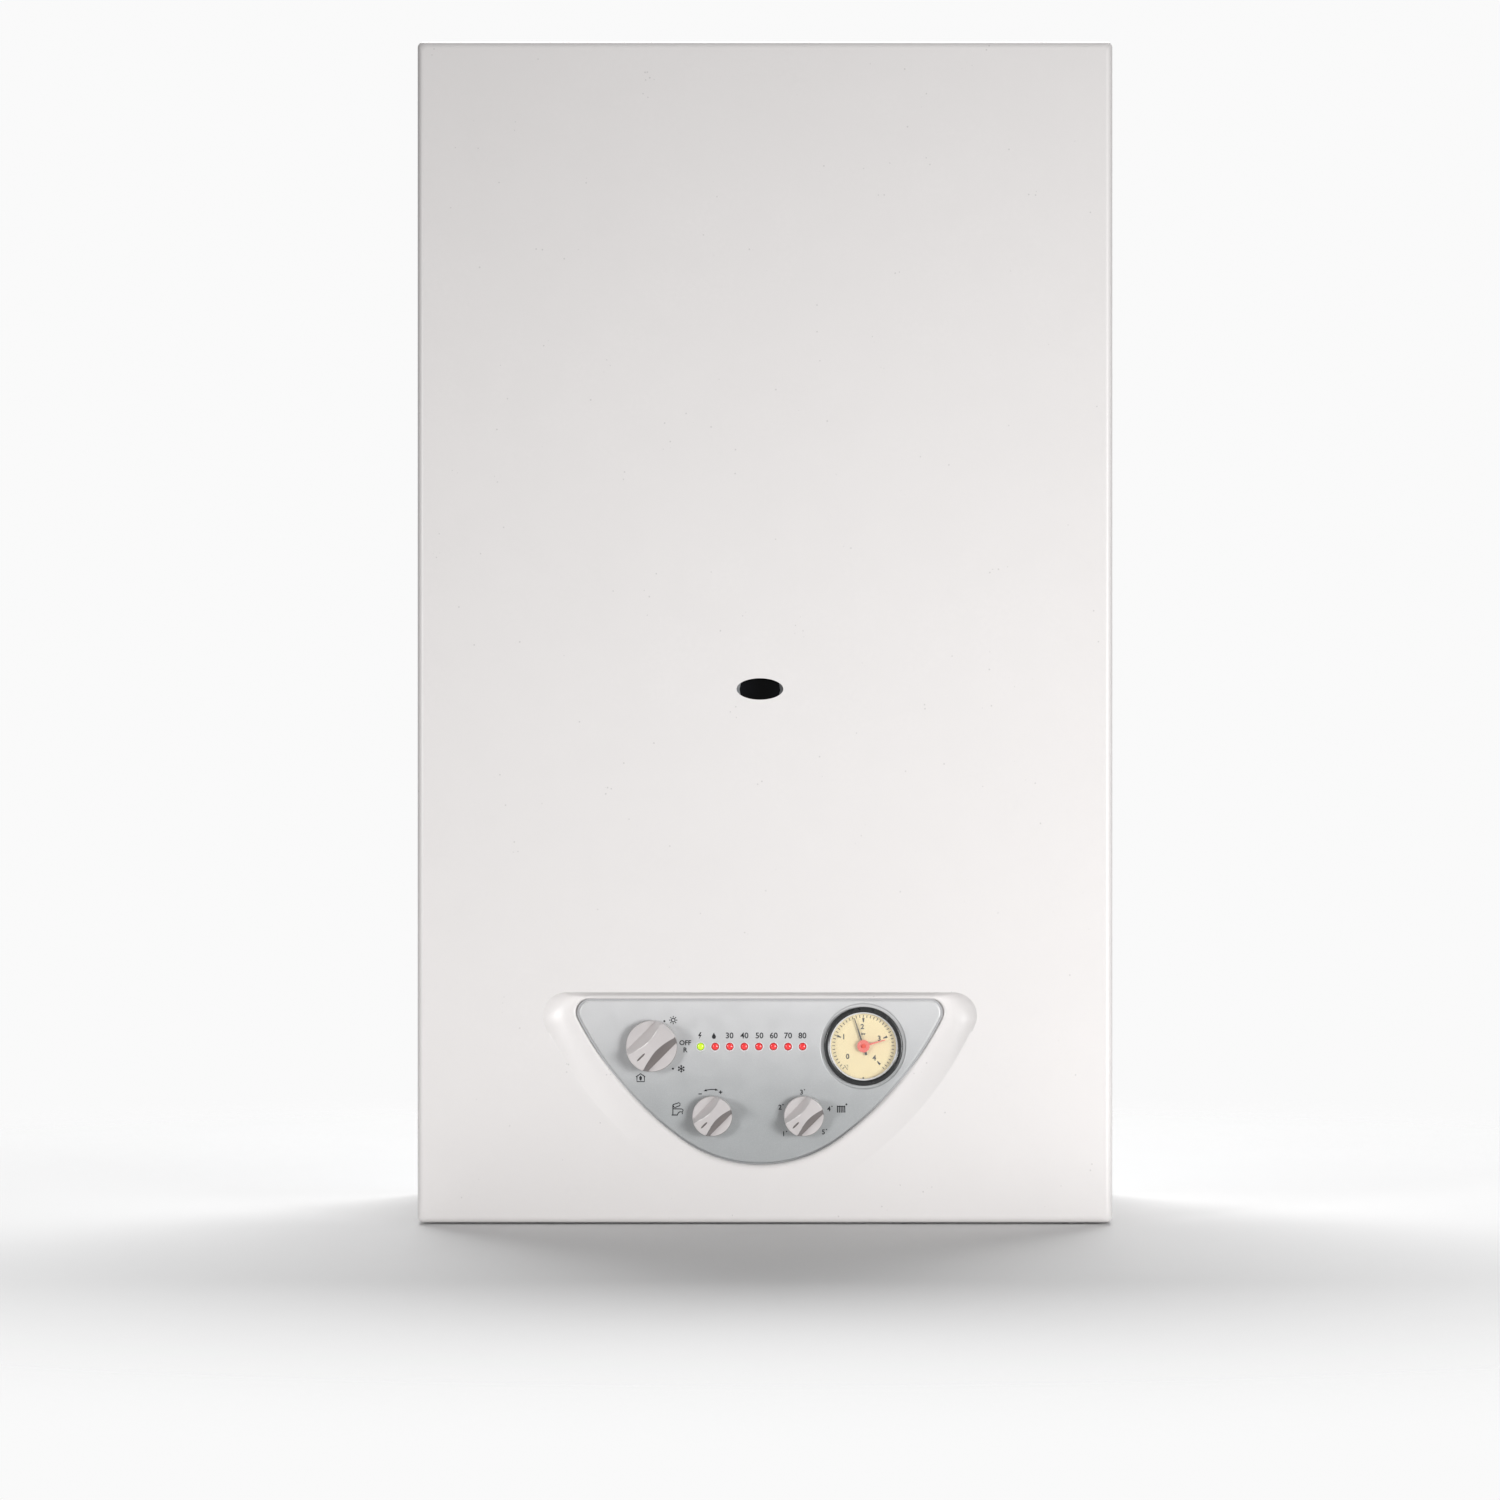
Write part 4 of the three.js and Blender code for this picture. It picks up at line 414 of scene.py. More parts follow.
class Skin:
    """Points and faces that grow ring by ring."""

    def __init__(self):
        self.points = []
        self.faces = []

    def ring(self, points):
        start = len(self.points)
        self.points.extend(points)
        return list(range(start, start + len(points)))

    def bridge(self, one, two, closed=True):
        count = len(one)
        for k in range(count if closed else count - 1):
            j = (k + 1) % count
            self.faces.append((one[k], one[j], two[j], two[k]))

    def rings(self, outlines, closed=True):
        made = [self.ring(points) for points in outlines]
        for one, two in zip(made, made[1:]):
            self.bridge(one, two, closed)
        return made

    def capped(self, outlines):
        made = self.rings(outlines)
        self.faces.append(tuple(made[0]))
        self.faces.append(tuple(made[-1]))
        return made

    def flat(self, rings):
        """Fills a flat face whose first ring is its outline and the others its holes."""
        loops = [[Vector((self.points[i][0], self.points[i][2], 0)) for i in ring] for ring in rings]
        indices = [i for ring in rings for i in ring]
        for corners in tessellate_polygon(loops):
            self.faces.append(tuple(indices[i] for i in corners))

    def piece(self, name, body, finish, slot=None, sharp=30, towards=None, weighted=True):
        """A mesh piece that rides on a body."""
        mesh = bpy.data.meshes.new(name)
        mesh.from_pydata([metres(p) for p in self.points], [], self.faces)
        mesh.validate()
        made = bpy.data.objects.new(name, mesh)
        bpy.context.scene.collection.objects.link(made)
        made.data.materials.append(finish.material)
        reshape(made, lambda shape: agree(shape, towards))
        soften(made, sharp, weighted)
        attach(made, body)
        return made


def on_circle(centre, radius, angle):
    return centre[0] + radius * math.cos(angle), centre[1] + radius * math.sin(angle)


def arc(centre, radius, start, end, steps):
    return [on_circle(centre, radius, start + (end - start) * k / steps) for k in range(steps + 1)]


def circle(centre, radius, sides, y, tall=None):
    up = radius if tall is None else tall
    flat = arc((0, 0), 1, 0, 2 * math.pi, sides)[:-1]
    return [(centre[0] + radius * x, y, centre[1] + up * z) for x, z in flat]


def rounded(x0, x1, z0, z1, radius, steps=8):
    centres = [(x1 - radius, z0 + radius), (x1 - radius, z1 - radius)]
    centres += [(x0 + radius, z1 - radius), (x0 + radius, z0 + radius)]
    points = []
    for k, centre in enumerate(centres):
        points += arc(centre, radius, (k - 1) * QUARTER, k * QUARTER, steps)
    return points


def half_moon(grow, grow_top, corner):
    """The fascia's outline. grow moves its arcs outward, grow_top raises its straight top."""
    top = FASCIA_TOP + grow_top
    arch_z = FASCIA_FOOT + ARCH
    flank_x = -(FLANK - ARCH) * math.sin(ARCH_ANGLE)
    flank_z = arch_z + (FLANK - ARCH) * math.cos(ARCH_ANGLE)
    inner = FLANK + grow - corner
    drop = top - corner - flank_z
    corner_x = flank_x + math.sqrt(inner * inner - drop * drop)
    meet = math.atan2(drop, corner_x - flank_x)
    right = arc((0, arch_z), ARCH + grow, -QUARTER, ARCH_ANGLE - QUARTER, 28)[:-1]
    right += arc((flank_x, flank_z), FLANK + grow, ARCH_ANGLE - QUARTER, meet, 36)[:-1]
    right += arc((corner_x, top - corner), corner, meet, QUARTER, 12)
    left = [(-x, z) for x, z in right[:0:-1]]
    return [(x + FRONT_X, z) for x, z in right + left]


def rounding(steps):
    """Shares of a quarter round's reach across and back, from its side to its face."""
    angles = [k / steps * QUARTER for k in range(steps + 1)]
    return [(1 - math.cos(a), 1 - math.sin(a)) for a in angles]


def lathe(profile, centre, sides=96):
    """Rings of a profile of (radius, y), turned about an axis along y."""
    return [circle(centre, max(r, 0.01), sides, y) for r, y in profile]


# ------------------------------------------------------------------ front cover


def dish_ring(grow, grow_top, share, extra=0.0):
    """A ring on the dish, at a share of its depth, which fades out towards the dish's foot."""
    corner = CORNER + (DISH_CORNER - CORNER) * grow / DISH_MARGIN
    foot = FASCIA_FOOT - DISH_MARGIN
    head = FASCIA_TOP + DISH_TOP
    ring = []
    for x, z in half_moon(grow, grow_top, corner):
        t = min(max((z - foot) / (head - foot), 0.0), 1.0)
        ring.append((x, FACE + DISH_DEPTH * t * t * (3 - 2 * t) * share + extra, z))
    return ring


def cover_rings():
    """The pressing from the dish's edge in to the aperture's back edge."""
    rings = []
    wall_steps, lip_steps = 14, 7
    for k in range(wall_steps + 1):
        t = k / wall_steps
        share = 1 - (1 - t) ** 2
        rings.append(dish_ring(DISH_MARGIN - DISH_WALL * t, DISH_TOP - DISH_TOP_WALL * t, share))
    roll = (DISH_TOP - DISH_TOP_WALL - GAP) * 0.9
    for across, back in rounding(lip_steps):
        grow, grow_top = GAP + LIP * back, GAP + roll * back
        rings.append(dish_ring(grow, grow_top, 1, LIP * across))
    rings.append(dish_ring(GAP, GAP, 1, LIP + SHEET))
    return rings


def front_cover():
    """One sheet: skirt, folds, face, dish, rolled aperture and the sight hole."""
    skin = Skin()

    def span(shrink, y):
        radius = COVER_CORNER + (COVER_FOLD - shrink) * 0.2
        outline = rounded(shrink - HALF, HALF - shrink, shrink, TALL - shrink, radius)
        return [(x, y, z) for x, z in outline]

    outlines = [span(0, COVER_BACK), span(0, FACE + 20)]
    outlines += [span(COVER_FOLD * a, FACE + COVER_FOLD * b) for a, b in rounding(9)]
    shell = skin.rings(outlines)
    dish = skin.rings(cover_rings())
    hole = skin.ring(circle((FRONT_X, SIGHT_Z), SIGHT_WIDE / 2, 64, FACE, SIGHT_TALL / 2))
    skin.flat([shell[-1], dish[0], hole])
    paint = FINISHES["white_paint"]
    made = skin.piece("cover_pressing", "front_cover", paint, "white_paint", 35, OUT)
    sheet = made.modifiers.new("sheet", "SOLIDIFY")
    sheet.thickness = SHEET / 1000
    sheet.offset = -1
    made.modifiers.move(1, 0)
    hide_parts("front_cover")
    flanges()


def flanges():
    """The returns behind the cover's sides, each with two punched stud holes."""
    skin = Skin()
    for side in (-1, 1):
        sides = [side * (HALF - SHEET - FLANGE_GAP), side * (HALF - FLANGE_REACH)]
        outline = rounded(min(sides), max(sides), FLANGE_END, TALL - FLANGE_END, FLANGE_CORNER, 3)
        studs = [(side * (HALF - STUD_INSET), z) for z in (STUD_END, TALL - STUD_END)]
        faces = []
        for y in (COVER_BACK, COVER_BACK - SHEET):
            loops = [skin.ring([(x, y, z) for x, z in outline])]
            loops += [skin.ring(circle(stud, STUD_HOLE, 24, y)) for stud in studs]
            skin.flat(loops)
            faces.append(loops)
        for back, front in zip(*faces):
            skin.bridge(back, front)
    skin.piece("cover_flanges", "front_cover", FINISHES["white_paint"], "white_paint", 30)


def sight_tube():
    """Black sleeve from the sight glass to just behind the cover's hole, a dark piece that stands in for
    the shade inside the casing.
    """
    at = (FRONT_X, SIGHT_Z)
    skin = Skin()
    # Painted shade: the sleeve darkens the view through the sight hole.
    foot, shoulder, front = LID + 0.2, FACE + 5, FACE + 3.4
    profile = [(SLEEVE_OUT, foot), (SLEEVE_OUT, shoulder), (SLEEVE_OUT - 0.8, front)]
    profile += [(SLEEVE_IN + 0.3, front), (SLEEVE_IN, shoulder), (SLEEVE_IN, foot)]
    outlines = [circle(at, r, 64, y, r * SLEEVE_SQUASH) for r, y in profile]
    skin.rings([*outlines, outlines[0]])
    skin.piece("sight_shade_sleeve", "chassis", FINISHES["seal_rubber"], None, 35)


# ------------------------------------------------------------------ control panel


def fascia():
    """The control panel's plate: rounded edge, rim, holes for spindles and lamps, gauge seat."""
    skin = Skin()

    def outline(shrink, y):
        return [(x, y, z) for x, z in half_moon(-shrink, -shrink, CORNER - shrink)]

    rim = [outline(0, FASCIA + FASCIA_RIM), outline(0, FASCIA + FASCIA_SIDE)]
    rim += [outline(FASCIA_EDGE * a, FASCIA + FASCIA_EDGE * b) for a, b in rounding(6)]
    face = skin.rings(rim)[-1]
    holes = []
    for x, z, _ in KNOBS.values():
        bore = [circle((x, z), SPINDLE_HOLE, 32, FASCIA + y) for y in (0, BORE_DEPTH)]
        holes.append(skin.rings(bore)[0])
    for x in LAMPS:
        bore = [circle((x, LAMP_Z), r, 28, FASCIA + y) for r, y in ((2.45, 0), (2.3, BORE_DEPTH))]
        holes.append(skin.rings(bore)[0])
    seat = [(27.7, 0), (27.2, 0.12), (26.7, 0.7), (26.5, 0.8), (23.4, 0.8), (23.4, BORE_DEPTH)]
    holes.append(skin.rings(lathe([(r, FASCIA + y) for r, y in seat], GAUGE))[0])
    skin.flat([face, *holes])
    paint = FINISHES["silver_plastic"]
    made = skin.piece("fascia_plate", "chassis", paint, "silver_plastic", 40, OUT)
    wall = made.modifiers.new("wall", "SOLIDIFY")
    wall.thickness = SHEET / 1000
    wall.offset = -1
    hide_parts("fascia")
    fascia_seal()


def fascia_seal():
    """The grey strip at the bottom of the gap between the fascia and the cover's aperture."""
    skin = Skin()
    outlines = [half_moon(grow, grow, CORNER + grow) for grow in (GAP + 0.6, -0.3)]
    skin.rings([[(x, FASCIA + 1.0, z) for x, z in outline] for outline in outlines])
    skin.piece("fascia_seal", "chassis", SEAL, None, 30, OUT)


def soft_min(a, b, reach):
    """The lesser of two heights, rounded where they are within reach of each other."""
    near = max(reach - abs(a - b), 0.0) / reach
    return min(a, b) - near * near * reach / 4


def crest(u, radius):
    """Half width of the bar's crest at u along it."""
    return radius * (WAIST + (WAIST_END - WAIST) * (u / radius) ** 2)


def knob_height(u, v, radius):
    """Height of a knob's front: a waisted bar between two scoops, falling to its pointer."""
    edge, foot, low = crest(u, radius), FOOT * radius, KNOB_TALL * STEP
    fall = KNOB_TALL - KNOB_FALL * max(0.0, -u) / radius
    flank = KNOB_TALL - (abs(v) - edge) / max(foot - edge, 0.5) * (KNOB_TALL - low)
    bar = soft_min(fall, flank, 0.7)
    return max(bar, low)


def knob_rows(radius):
    """Rows of (u, v, height) across the knob, with lines along its creases and rounded rim."""
    rows = []
    steps = 56
    rim = [(0.35, 0.03), (0.12, 0.22), (0.0, 0.6)]
    for k in range(steps + 1):
        u = -radius * math.cos(math.pi * k / steps)
        reach = [math.sqrt(max((radius - d) ** 2 - u * u, 0.0)) for d in (0.6, *(d for d, _ in rim))]
        edge, foot = crest(u, radius), FOOT * radius
        marks = [0.0, 0.35 * edge, 0.7 * edge, edge - 0.5, edge - 0.2, edge, edge + 0.2, edge + 0.5]
        marks += [edge + (foot - edge) * t for t in (0.35, 0.6, 0.85)]
        marks += [foot, foot + 0.12, foot + (radius - foot) * 0.5]
        half = [min(m, reach[0]) for m in marks] + reach[1:]
        drops = [0.0] * len(marks) + [drop for _, drop in rim]
        right = [(u, v, knob_height(u, v, radius) - d) for v, d in zip(half, drops)]
        left = [(u, -v, h) for u, v, h in right[:0:-1]]
        rows.append(left + right)
    return rows


def knob(name):
    """A knob's grip, from its scooped front to its chamfered back, and the dark strip of painted shade
    that stands for the groove on it.
    """
    x, z, radius = KNOBS[name]
    back = FASCIA - KNOB_CLEARANCE

    def place(u, v, h):
        across = u * math.cos(KNOB_TILT) - v * math.sin(KNOB_TILT)
        up = u * math.sin(KNOB_TILT) + v * math.cos(KNOB_TILT)
        return (x + across, back - h, z + up)

    skin = Skin()
    rows = knob_rows(radius)
    made = skin.rings([[place(*p) for p in row] for row in rows], closed=False)
    border = [row[-1] for row in made] + [row[0] for row in made[::-1]]
    flat = [row[-1] for row in rows] + [row[0] for row in rows[::-1]]
    for height, shrink in ((0.5, 0.0), (0.12, 0.1), (0.0, 0.4)):
        share = (radius - shrink) / radius
        lower = skin.ring([place(u * share, v * share, height) for u, v, _ in flat])
        skin.bridge(border, lower)
        border = lower
    skin.faces.append(tuple(border))
    finish = FINISHES["knob_plastic"]
    result = skin.piece(f"{name}_grip", name, finish, "knob_plastic", 25)
    reshape(result, lambda shape: bmesh.ops.remove_doubles(shape, verts=shape.verts, dist=1e-6))
    reshape(result, agree)
    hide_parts(f"{name}_knob")
    knob_pointer(name, radius, place)


def knob_pointer(name, radius, place):
    """A dark strip on a knob's crest, painted shade standing for the groove that shows where it points.
    """
    skin = Skin()
    start, end, steps = -POINTER_START * radius, -POINTER_END * radius, 8
    rings = []
    for k in range(steps + 1):
        u = start + (end - start) * k / steps
        wide = POINTER_HALF * math.sqrt(max(1 - (2 * k / steps - 1) ** 4, 0.03))
        high = knob_height(u, 0, radius)
        profile = [(-wide, -0.6), (-wide, 0.05), (0, 0.02), (wide, 0.05), (wide, -0.6)]
        rings.append([place(u, v, high + lift) for v, lift in profile])
    skin.capped(rings)
    skin.piece(f"{name}_pointer", name, GROOVE_SHADE, None, 30)


def gauge():
    """Bezel and case with a bright ring inside it under the lens."""
    bezel = [(DIAL, -1.9), (DIAL + 0.4, -2.2), (DIAL + 1.2, -2.4), (BEZEL - 0.9, -2.36)]
    bezel += [(BEZEL - 0.4, -2.1), (BEZEL - 0.1, -1.8), (BEZEL, -1.4), (BEZEL, 0.75)]
    bezel += [(CASE_RADIUS, 0.8), (CASE_RADIUS, CASE_DEPTH), (CASE_BORE, CASE_DEPTH)]
    finish = FINISHES["bezel_plastic"]
    skin = Skin()
    skin.rings(lathe([(r, FASCIA + y) for r, y in bezel], GAUGE, 128))
    ring = skin.piece("gauge_bezel", "chassis", finish, "bezel_plastic", 30, OUT)
    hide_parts("gauge_case")
    well = Skin()
    depths = [(DIAL, -1.9), (DIAL, -0.9), (20.9, -0.6), (20.6, 0.4), (20.7, 3.4), (22.0, 3.44)]
    well.rings(lathe([(r, FASCIA + y) for r, y in depths], GAUGE, 128))
    well.piece("gauge_well", "chassis", HALO, None, 30)


def lamps():
    """Eight domed lenses as one piece, each with a pale ring round it on the fascia."""
    skin, rims = Skin(), Skin()
    rises = (0.26, 0.52, 0.79, 1.05, 1.31, 1.5)
    dome = [(LAMP_RADIUS, 5.0), (LAMP_RADIUS, -0.1)]
    dome += [(LAMP_RADIUS * math.cos(a), -0.1 - 0.9 * math.sin(a)) for a in rises]
    rim = [(3.05, -0.01), (2.9, -0.14), (2.6, -0.17), (2.45, 0.05), (2.4, 0.6)]
    for x in LAMPS:
        skin.capped(lathe([(r, FASCIA + y) for r, y in dome], (x, LAMP_Z), 32))
        rims.rings(lathe([(r, FASCIA + y) for r, y in rim], (x, LAMP_Z), 32))
    skin.piece("lamp_lenses", "chassis", FINISHES["lamp_plastic"], "lamp_plastic", 50)
    rims.piece("lamp_rims", "chassis", HALO, None, 50, OUT)


# ------------------------------------------------------------------ printed marks


class Marks(Skin):
    """Flat printed figures just in front of a face at y, placed from a centre.

    weight is what each stroke and letter gains on either side.
    """

    weight = 0.1

    def __init__(self, y, centre=(0.0, 0.0)):
        super().__init__()
        self.y = y
        self.centre = centre

    def put(self, points):
        cx, cz = self.centre
        return self.ring([(cx + x, self.y, cz + z) for x, z in points])

    def polygon(self, points):
        self.flat([self.put(points)])

    def stroke(self, points, width, closed=False):
        """A band of even width along a path."""
        width += self.weight * 2
        count = len(points)
        left, right = [], []
        for k, (x, z) in enumerate(points):
            before = points[(k - 1) % count] if closed or k > 0 else points[k]
            after = points[(k + 1) % count] if closed or k < count - 1 else points[k]
            dx, dz = after[0] - before[0], after[1] - before[1]
            size = math.hypot(dx, dz) or 1.0
            nx, nz = -dz / size * width / 2, dx / size * width / 2
            left.append((x + nx, z + nz))
            right.append((x - nx, z - nz))
        self.bridge(self.put(left), self.put(right), closed)

    def disc(self, at, radius, sides=20):
        self.polygon(arc(at, radius, 0, 2 * math.pi, sides)[:-1])

    def hoop(self, at, radius, width, start=0.0, end=360.0, steps=28):
        closed = end - start >= 360
        points = arc(at, radius, math.radians(start), math.radians(end), steps)
        self.stroke(points[:-1] if closed else points, width, closed)

    def words(self, text, at, tall):
        """Figures and letters, centred on at."""
        cx, cz = self.centre
        curve = bpy.data.curves.new("figures", "FONT")
        curve.body = text
        curve.size = tall / 0.72
        curve.offset = self.weight
        curve.align_x = "CENTER"
        curve.align_y = "CENTER"
        curve.resolution_u = 3
        holder = bpy.data.objects.new("figures", curve)
        mesh = holder.to_mesh()
        start = len(self.points)
        self.points += [(cx + at[0] + v.co.x, self.y, cz + at[1] + v.co.y) for v in mesh.vertices]
        self.faces += [tuple(start + i for i in p.vertices) for p in mesh.polygons]
        holder.to_mesh_clear()
        bpy.data.objects.remove(holder)
        bpy.data.curves.remove(curve)

    def shape(self, at, size, points, width=None):
        """A small figure drawn from points, filled, or as a line of a width."""
        moved = [(at[0] + x * size, at[1] + z * size) for x, z in points]
        if width:
            self.stroke(moved, width)
        else:
            self.polygon(moved)

    def done(self, name, finish):
        return self.piece(name, "chassis", finish, None, 30, OUT, False)


def polar(radius, degrees):
    """A place on a dial, with degrees clockwise from upright."""
    angle = math.radians(degrees)
    return radius * math.sin(angle), radius * math.cos(angle)


def dial_print():
    """The gauge's scale: fine ticks, wedges at 1 to 4, figures 0 to 4, the unit and two marks."""
    y = FASCIA + DIAL_BACK
    zero, sweep, steps, bars = 222, 276, 40, 4
    marks, faint = Marks(y, GAUGE), Marks(y, GAUGE)
    marks.weight = 0.15
    for step in range(steps + 1):
        degrees = zero + sweep * step / steps
        faint.stroke([polar(18.0, degrees), polar(19.7, degrees)], 0.3)
    for number, radius in ((1, 16.5), (2, 16.4), (3, 14.9), (4, 14.6)):
        degrees = zero + sweep * number / bars
        wedge = [(-0.35, -1.4), (0.35, -1.4), (0.75, 1.3), (-0.75, 1.3)]
        turn = math.radians(-degrees)
        cx, cz = polar(radius, degrees)
        cos, sin = math.cos(turn), math.sin(turn)
        marks.polygon([(cx + u * cos - w * sin, cz + u * sin + w * cos) for u, w in wedge])
    figures = ((12.1, 235.6), (13.7, 294.6), (12.1, 357), (11.1, 65), (10.4, 138))
    for number, (radius, degrees) in enumerate(figures):
        marks.words(str(number), polar(radius, degrees), 3.2)
    marks.words("bar", (0, 7.6), 1.4)
    marks.stroke([polar(19.9, 180), polar(21.0, 180)], 0.9)
    faint.stroke([polar(15.6, 219), polar(18.2, 213), polar(17.2, 225)], 0.3, True)
    marks.done("dial_figures", INK)
    faint.done("dial_ticks", FAINT_INK)


# Places of the fascia's print in a front view of 1500 points, and that view's scale.
VIEW_X, VIEW_FOOT = 765, 1223
MM_ACROSS, MM_UP = 0.632, 0.6328
ROW_Y = 1036.2
ROW_X = (699.7, 713.8, 729.4, 744.4, 759.4, 773.7, 788.1, 802.5)
SUN_DOT, SUN = (664.1, 1021.5), (673, 1020.5)
OFF_WORD, RESET_LETTER = (685, 1043.4), (685, 1050.6)
FLAKE_DOT, FLAKE = (672.7, 1069.1), (681, 1069.2)
HOUSE = (640.3, 1078.1)
MINUS, PLUS, TAP = (700, 1094.4), (720.5, 1092.6), (677.4, 1109.6)
SETTINGS = ((783.7, 1134.6), (780.1, 1107.9), (801.6, 1092.9), (829.1, 1109.5), (823.6, 1132.7))
RADIATOR, RADIATOR_DOT = (841.4, 1109.6), (846.6, 1104.9)


def image_place(px, py):
    """A place on the fascia, from its place in that view."""
    return (px - VIEW_X) * MM_ACROSS, (VIEW_FOOT - py) * MM_UP


def offset(at, dx, dz):
    return at[0] + dx, at[1] + dz


# The small figures' outlines, in shares of a size or in millimetres.
BOLT = [(0.1, 1), (-0.5, -0.05), (-0.02, -0.05), (-0.3, -1), (0.5, 0.25), (0.05, 0.25), (0.5, 1)]
FLAME = [(0, 1), (-0.35, 0.35), (-0.62, -0.2), (-0.5, -0.75), (0, -1), (0.5, -0.75)]
FLAME += [(0.62, -0.1), (0.3, 0.35)]
ROOF = [(-2.9, 0.5), (0, 2.5), (2.9, 0.5)]
WALLS = [(-2.3, 0.7), (-2.3, -2.5), (2.4, -2.5), (2.4, 0.7)]
DROP = [(0, 1.4), (-0.9, 0.2), (-0.75, -1.1), (0, -2.0), (0.75, -1.1), (0.9, 0.2)]
TAP_LEVER = [(-3.0, 2.8), (0.9, 4.1), (1.5, 3.6), (1.5, 2.3), (-1.5, 1.05), (-2.4, 1.3), (-3.0, 2.8)]
TAP_BODY = [(-3.0, 2.8), (-3.0, -3.6)]
TAP_SPOUT = [(-2.8, 0.2), (2.6, 0.1), (3.5, -0.5), (3.1, -1.8), (1.3, -1.7), (0.4, -2.5), (-0.2, -3.6)]
TAP_BASE = [(-3.8, -3.4), (0, -3.4), (0, -4.1), (-3.8, -4.1)]
TAP_DRIP = [(3.0, -2.2), (2.9, -3.2)]


def legends():
    """All that is printed on the fascia, with the row of signs over the lamps first."""
    marks = Marks(FASCIA - 0.04)
    row = image_place(0, ROW_Y)[1]
    columns = [image_place(px, 0)[0] for px in ROW_X]
    marks.shape((columns[0], row), 2.3, BOLT)
    marks.shape((columns[1], row), 2.1, FLAME)
    for x, text in zip(columns[2:], ("30", "40", "50", "60", "70", "80")):
        marks.words(text, (x, row), 3.7)
    selector_marks(marks)
    hot_water_marks(marks)
    heating_marks(marks)
    marks.done("fascia_print", INK)


def selector_marks(marks):
    """A sun, off and reset, a snowflake, and a house with a drop, round the selector."""
    marks.disc(image_place(*SUN_DOT), 0.65)
    sun = image_place(*SUN)
    marks.hoop(sun, 1.15, 0.42)
    for k in range(8):
        angle = k * math.pi / 4
        marks.stroke([on_circle(sun, 1.75, angle), on_circle(sun, 2.6, angle)], 0.4)
    marks.words("OFF", image_place(*OFF_WORD), 3.1)
    marks.words("R", image_place(*RESET_LETTER), 3.1)
    marks.disc(image_place(*FLAKE_DOT), 0.65)
    flake = image_place(*FLAKE)
    for k in range(3):
        angle = QUARTER + k * math.pi / 3
        marks.stroke([on_circle(flake, 2.4, angle), on_circle(flake, -2.4, angle)], 0.38)
    for k in range(6):
        angle = QUARTER + k * math.pi / 3
        knot = on_circle(flake, 1.35, angle)
        for shade_lean in (-0.8, 0.8):
            marks.stroke([knot, on_circle(knot, 0.85, angle + shade_lean)], 0.3)
    house = image_place(*HOUSE)
    marks.shape(house, 1, ROOF, 0.5)
    marks.shape(house, 1, WALLS, 0.5)
    marks.shape(house, 1, DROP)


def hot_water_marks(marks):
    """Less, a two-headed sweep and more above the knob, and a tap beside it."""
    x, z, _ = KNOBS["hot_water"]
    minus, plus = image_place(*MINUS), image_place(*PLUS)
    marks.stroke([offset(minus, -1.1, 0), offset(minus, 1.1, 0)], 0.45)
    marks.stroke([offset(plus, -1.1, 0), offset(plus, 1.1, 0)], 0.45)
    marks.stroke([offset(plus, 0, -1.1), offset(plus, 0, 1.1)], 0.45)
    marks.hoop((x, z), 16.5, 0.42, 80, 107, 12)
    for degrees, side in ((77, 1), (110, -1)):
        angle = math.radians(degrees)
        tip = on_circle((x, z), 16.4, angle)
        along = (math.sin(angle) * side, -math.cos(angle) * side)
        base = offset(tip, -along[0] * 2, -along[1] * 2)
        out = (math.cos(angle) * 0.8, math.sin(angle) * 0.8)
        marks.polygon([tip, offset(base, *out), offset(base, -out[0], -out[1])])
    tap = image_place(*TAP)
    for figure in (TAP_LEVER, TAP_BODY, TAP_SPOUT, TAP_DRIP):
        marks.shape(tap, 1, figure, 0.42)
    marks.shape(tap, 1, TAP_BASE)


def heating_marks(marks):
    """Settings 1 to 5 round the knob, each with a degree dot, and a radiator beside it."""
    for number, place in enumerate(SETTINGS, 1):
        at = image_place(*place)
        marks.words(str(number), at, 3.1)
        marks.disc(offset(at, 1.9, 1.7), 0.42, 12)
    at = image_place(*RADIATOR)
    for k in range(5):
        x = (k - 2) * 1.15
        marks.stroke([offset(at, x - 0.1, 2.2), offset(at, x, -2.2)], 0.5)
    marks.stroke([offset(at, -2.7, 1.7), offset(at, 2.5, 1.7)], 0.3)
    marks.disc(image_place(*RADIATOR_DOT), 0.62)


# ------------------------------------------------------------------ screws


def screw(skin, at, outward, radius=3.6):
    """A pan head with a round recess, standing outward from a face."""
    axis = Vector(outward)
    side = axis.orthogonal().normalized()
    up = axis.cross(side)
    profile = [(1.0, 0.0), (1.0, 0.25), (0.92, 0.4), (0.72, 0.54), (0.5, 0.58), (0.46, 0.54), (0.4, 0.2)]
    sides = 18
    turns = [2 * math.pi * k / sides for k in range(sides)]
    loops = []
    for share, high in profile:
        centre = Vector(at) + axis * radius * high
        reach = radius * share
        loops.append([tuple(centre + reach * (side * math.cos(a) + up * math.sin(a))) for a in turns])
    skin.capped(loops)


def fixings():
    """Screws that hold the chamber's lid and the top panel."""
    lid, sheet = Skin(), Skin()
    for x in (-LID_SCREW_X, LID_SCREW_X):
        for z in (LID_SCREW_LOW, 380, 500, 620, LID_SCREW_TOP):
            screw(lid, (x, LID_SCREW_Y, z), OUT)
    for x in (-95, 0, 95):
        screw(lid, (x, LID_SCREW_Y, LID_SCREW_TOP), OUT)
        screw(lid, (x, LID_SCREW_Y, LID_SCREW_LOW - 6), OUT)
    for x in (-196, 196):
        for y in (-20, -180):
            screw(sheet, (x, y, TALL), (0, 0, 1), 3.2)
    lid.piece("lid_screws", "chassis", FINISHES["steel"], None, 30)
    sheet.piece("top_screws", "chassis", FINISHES["steel"], None, 30)


# ------------------------------------------------------------------ CAD pieces


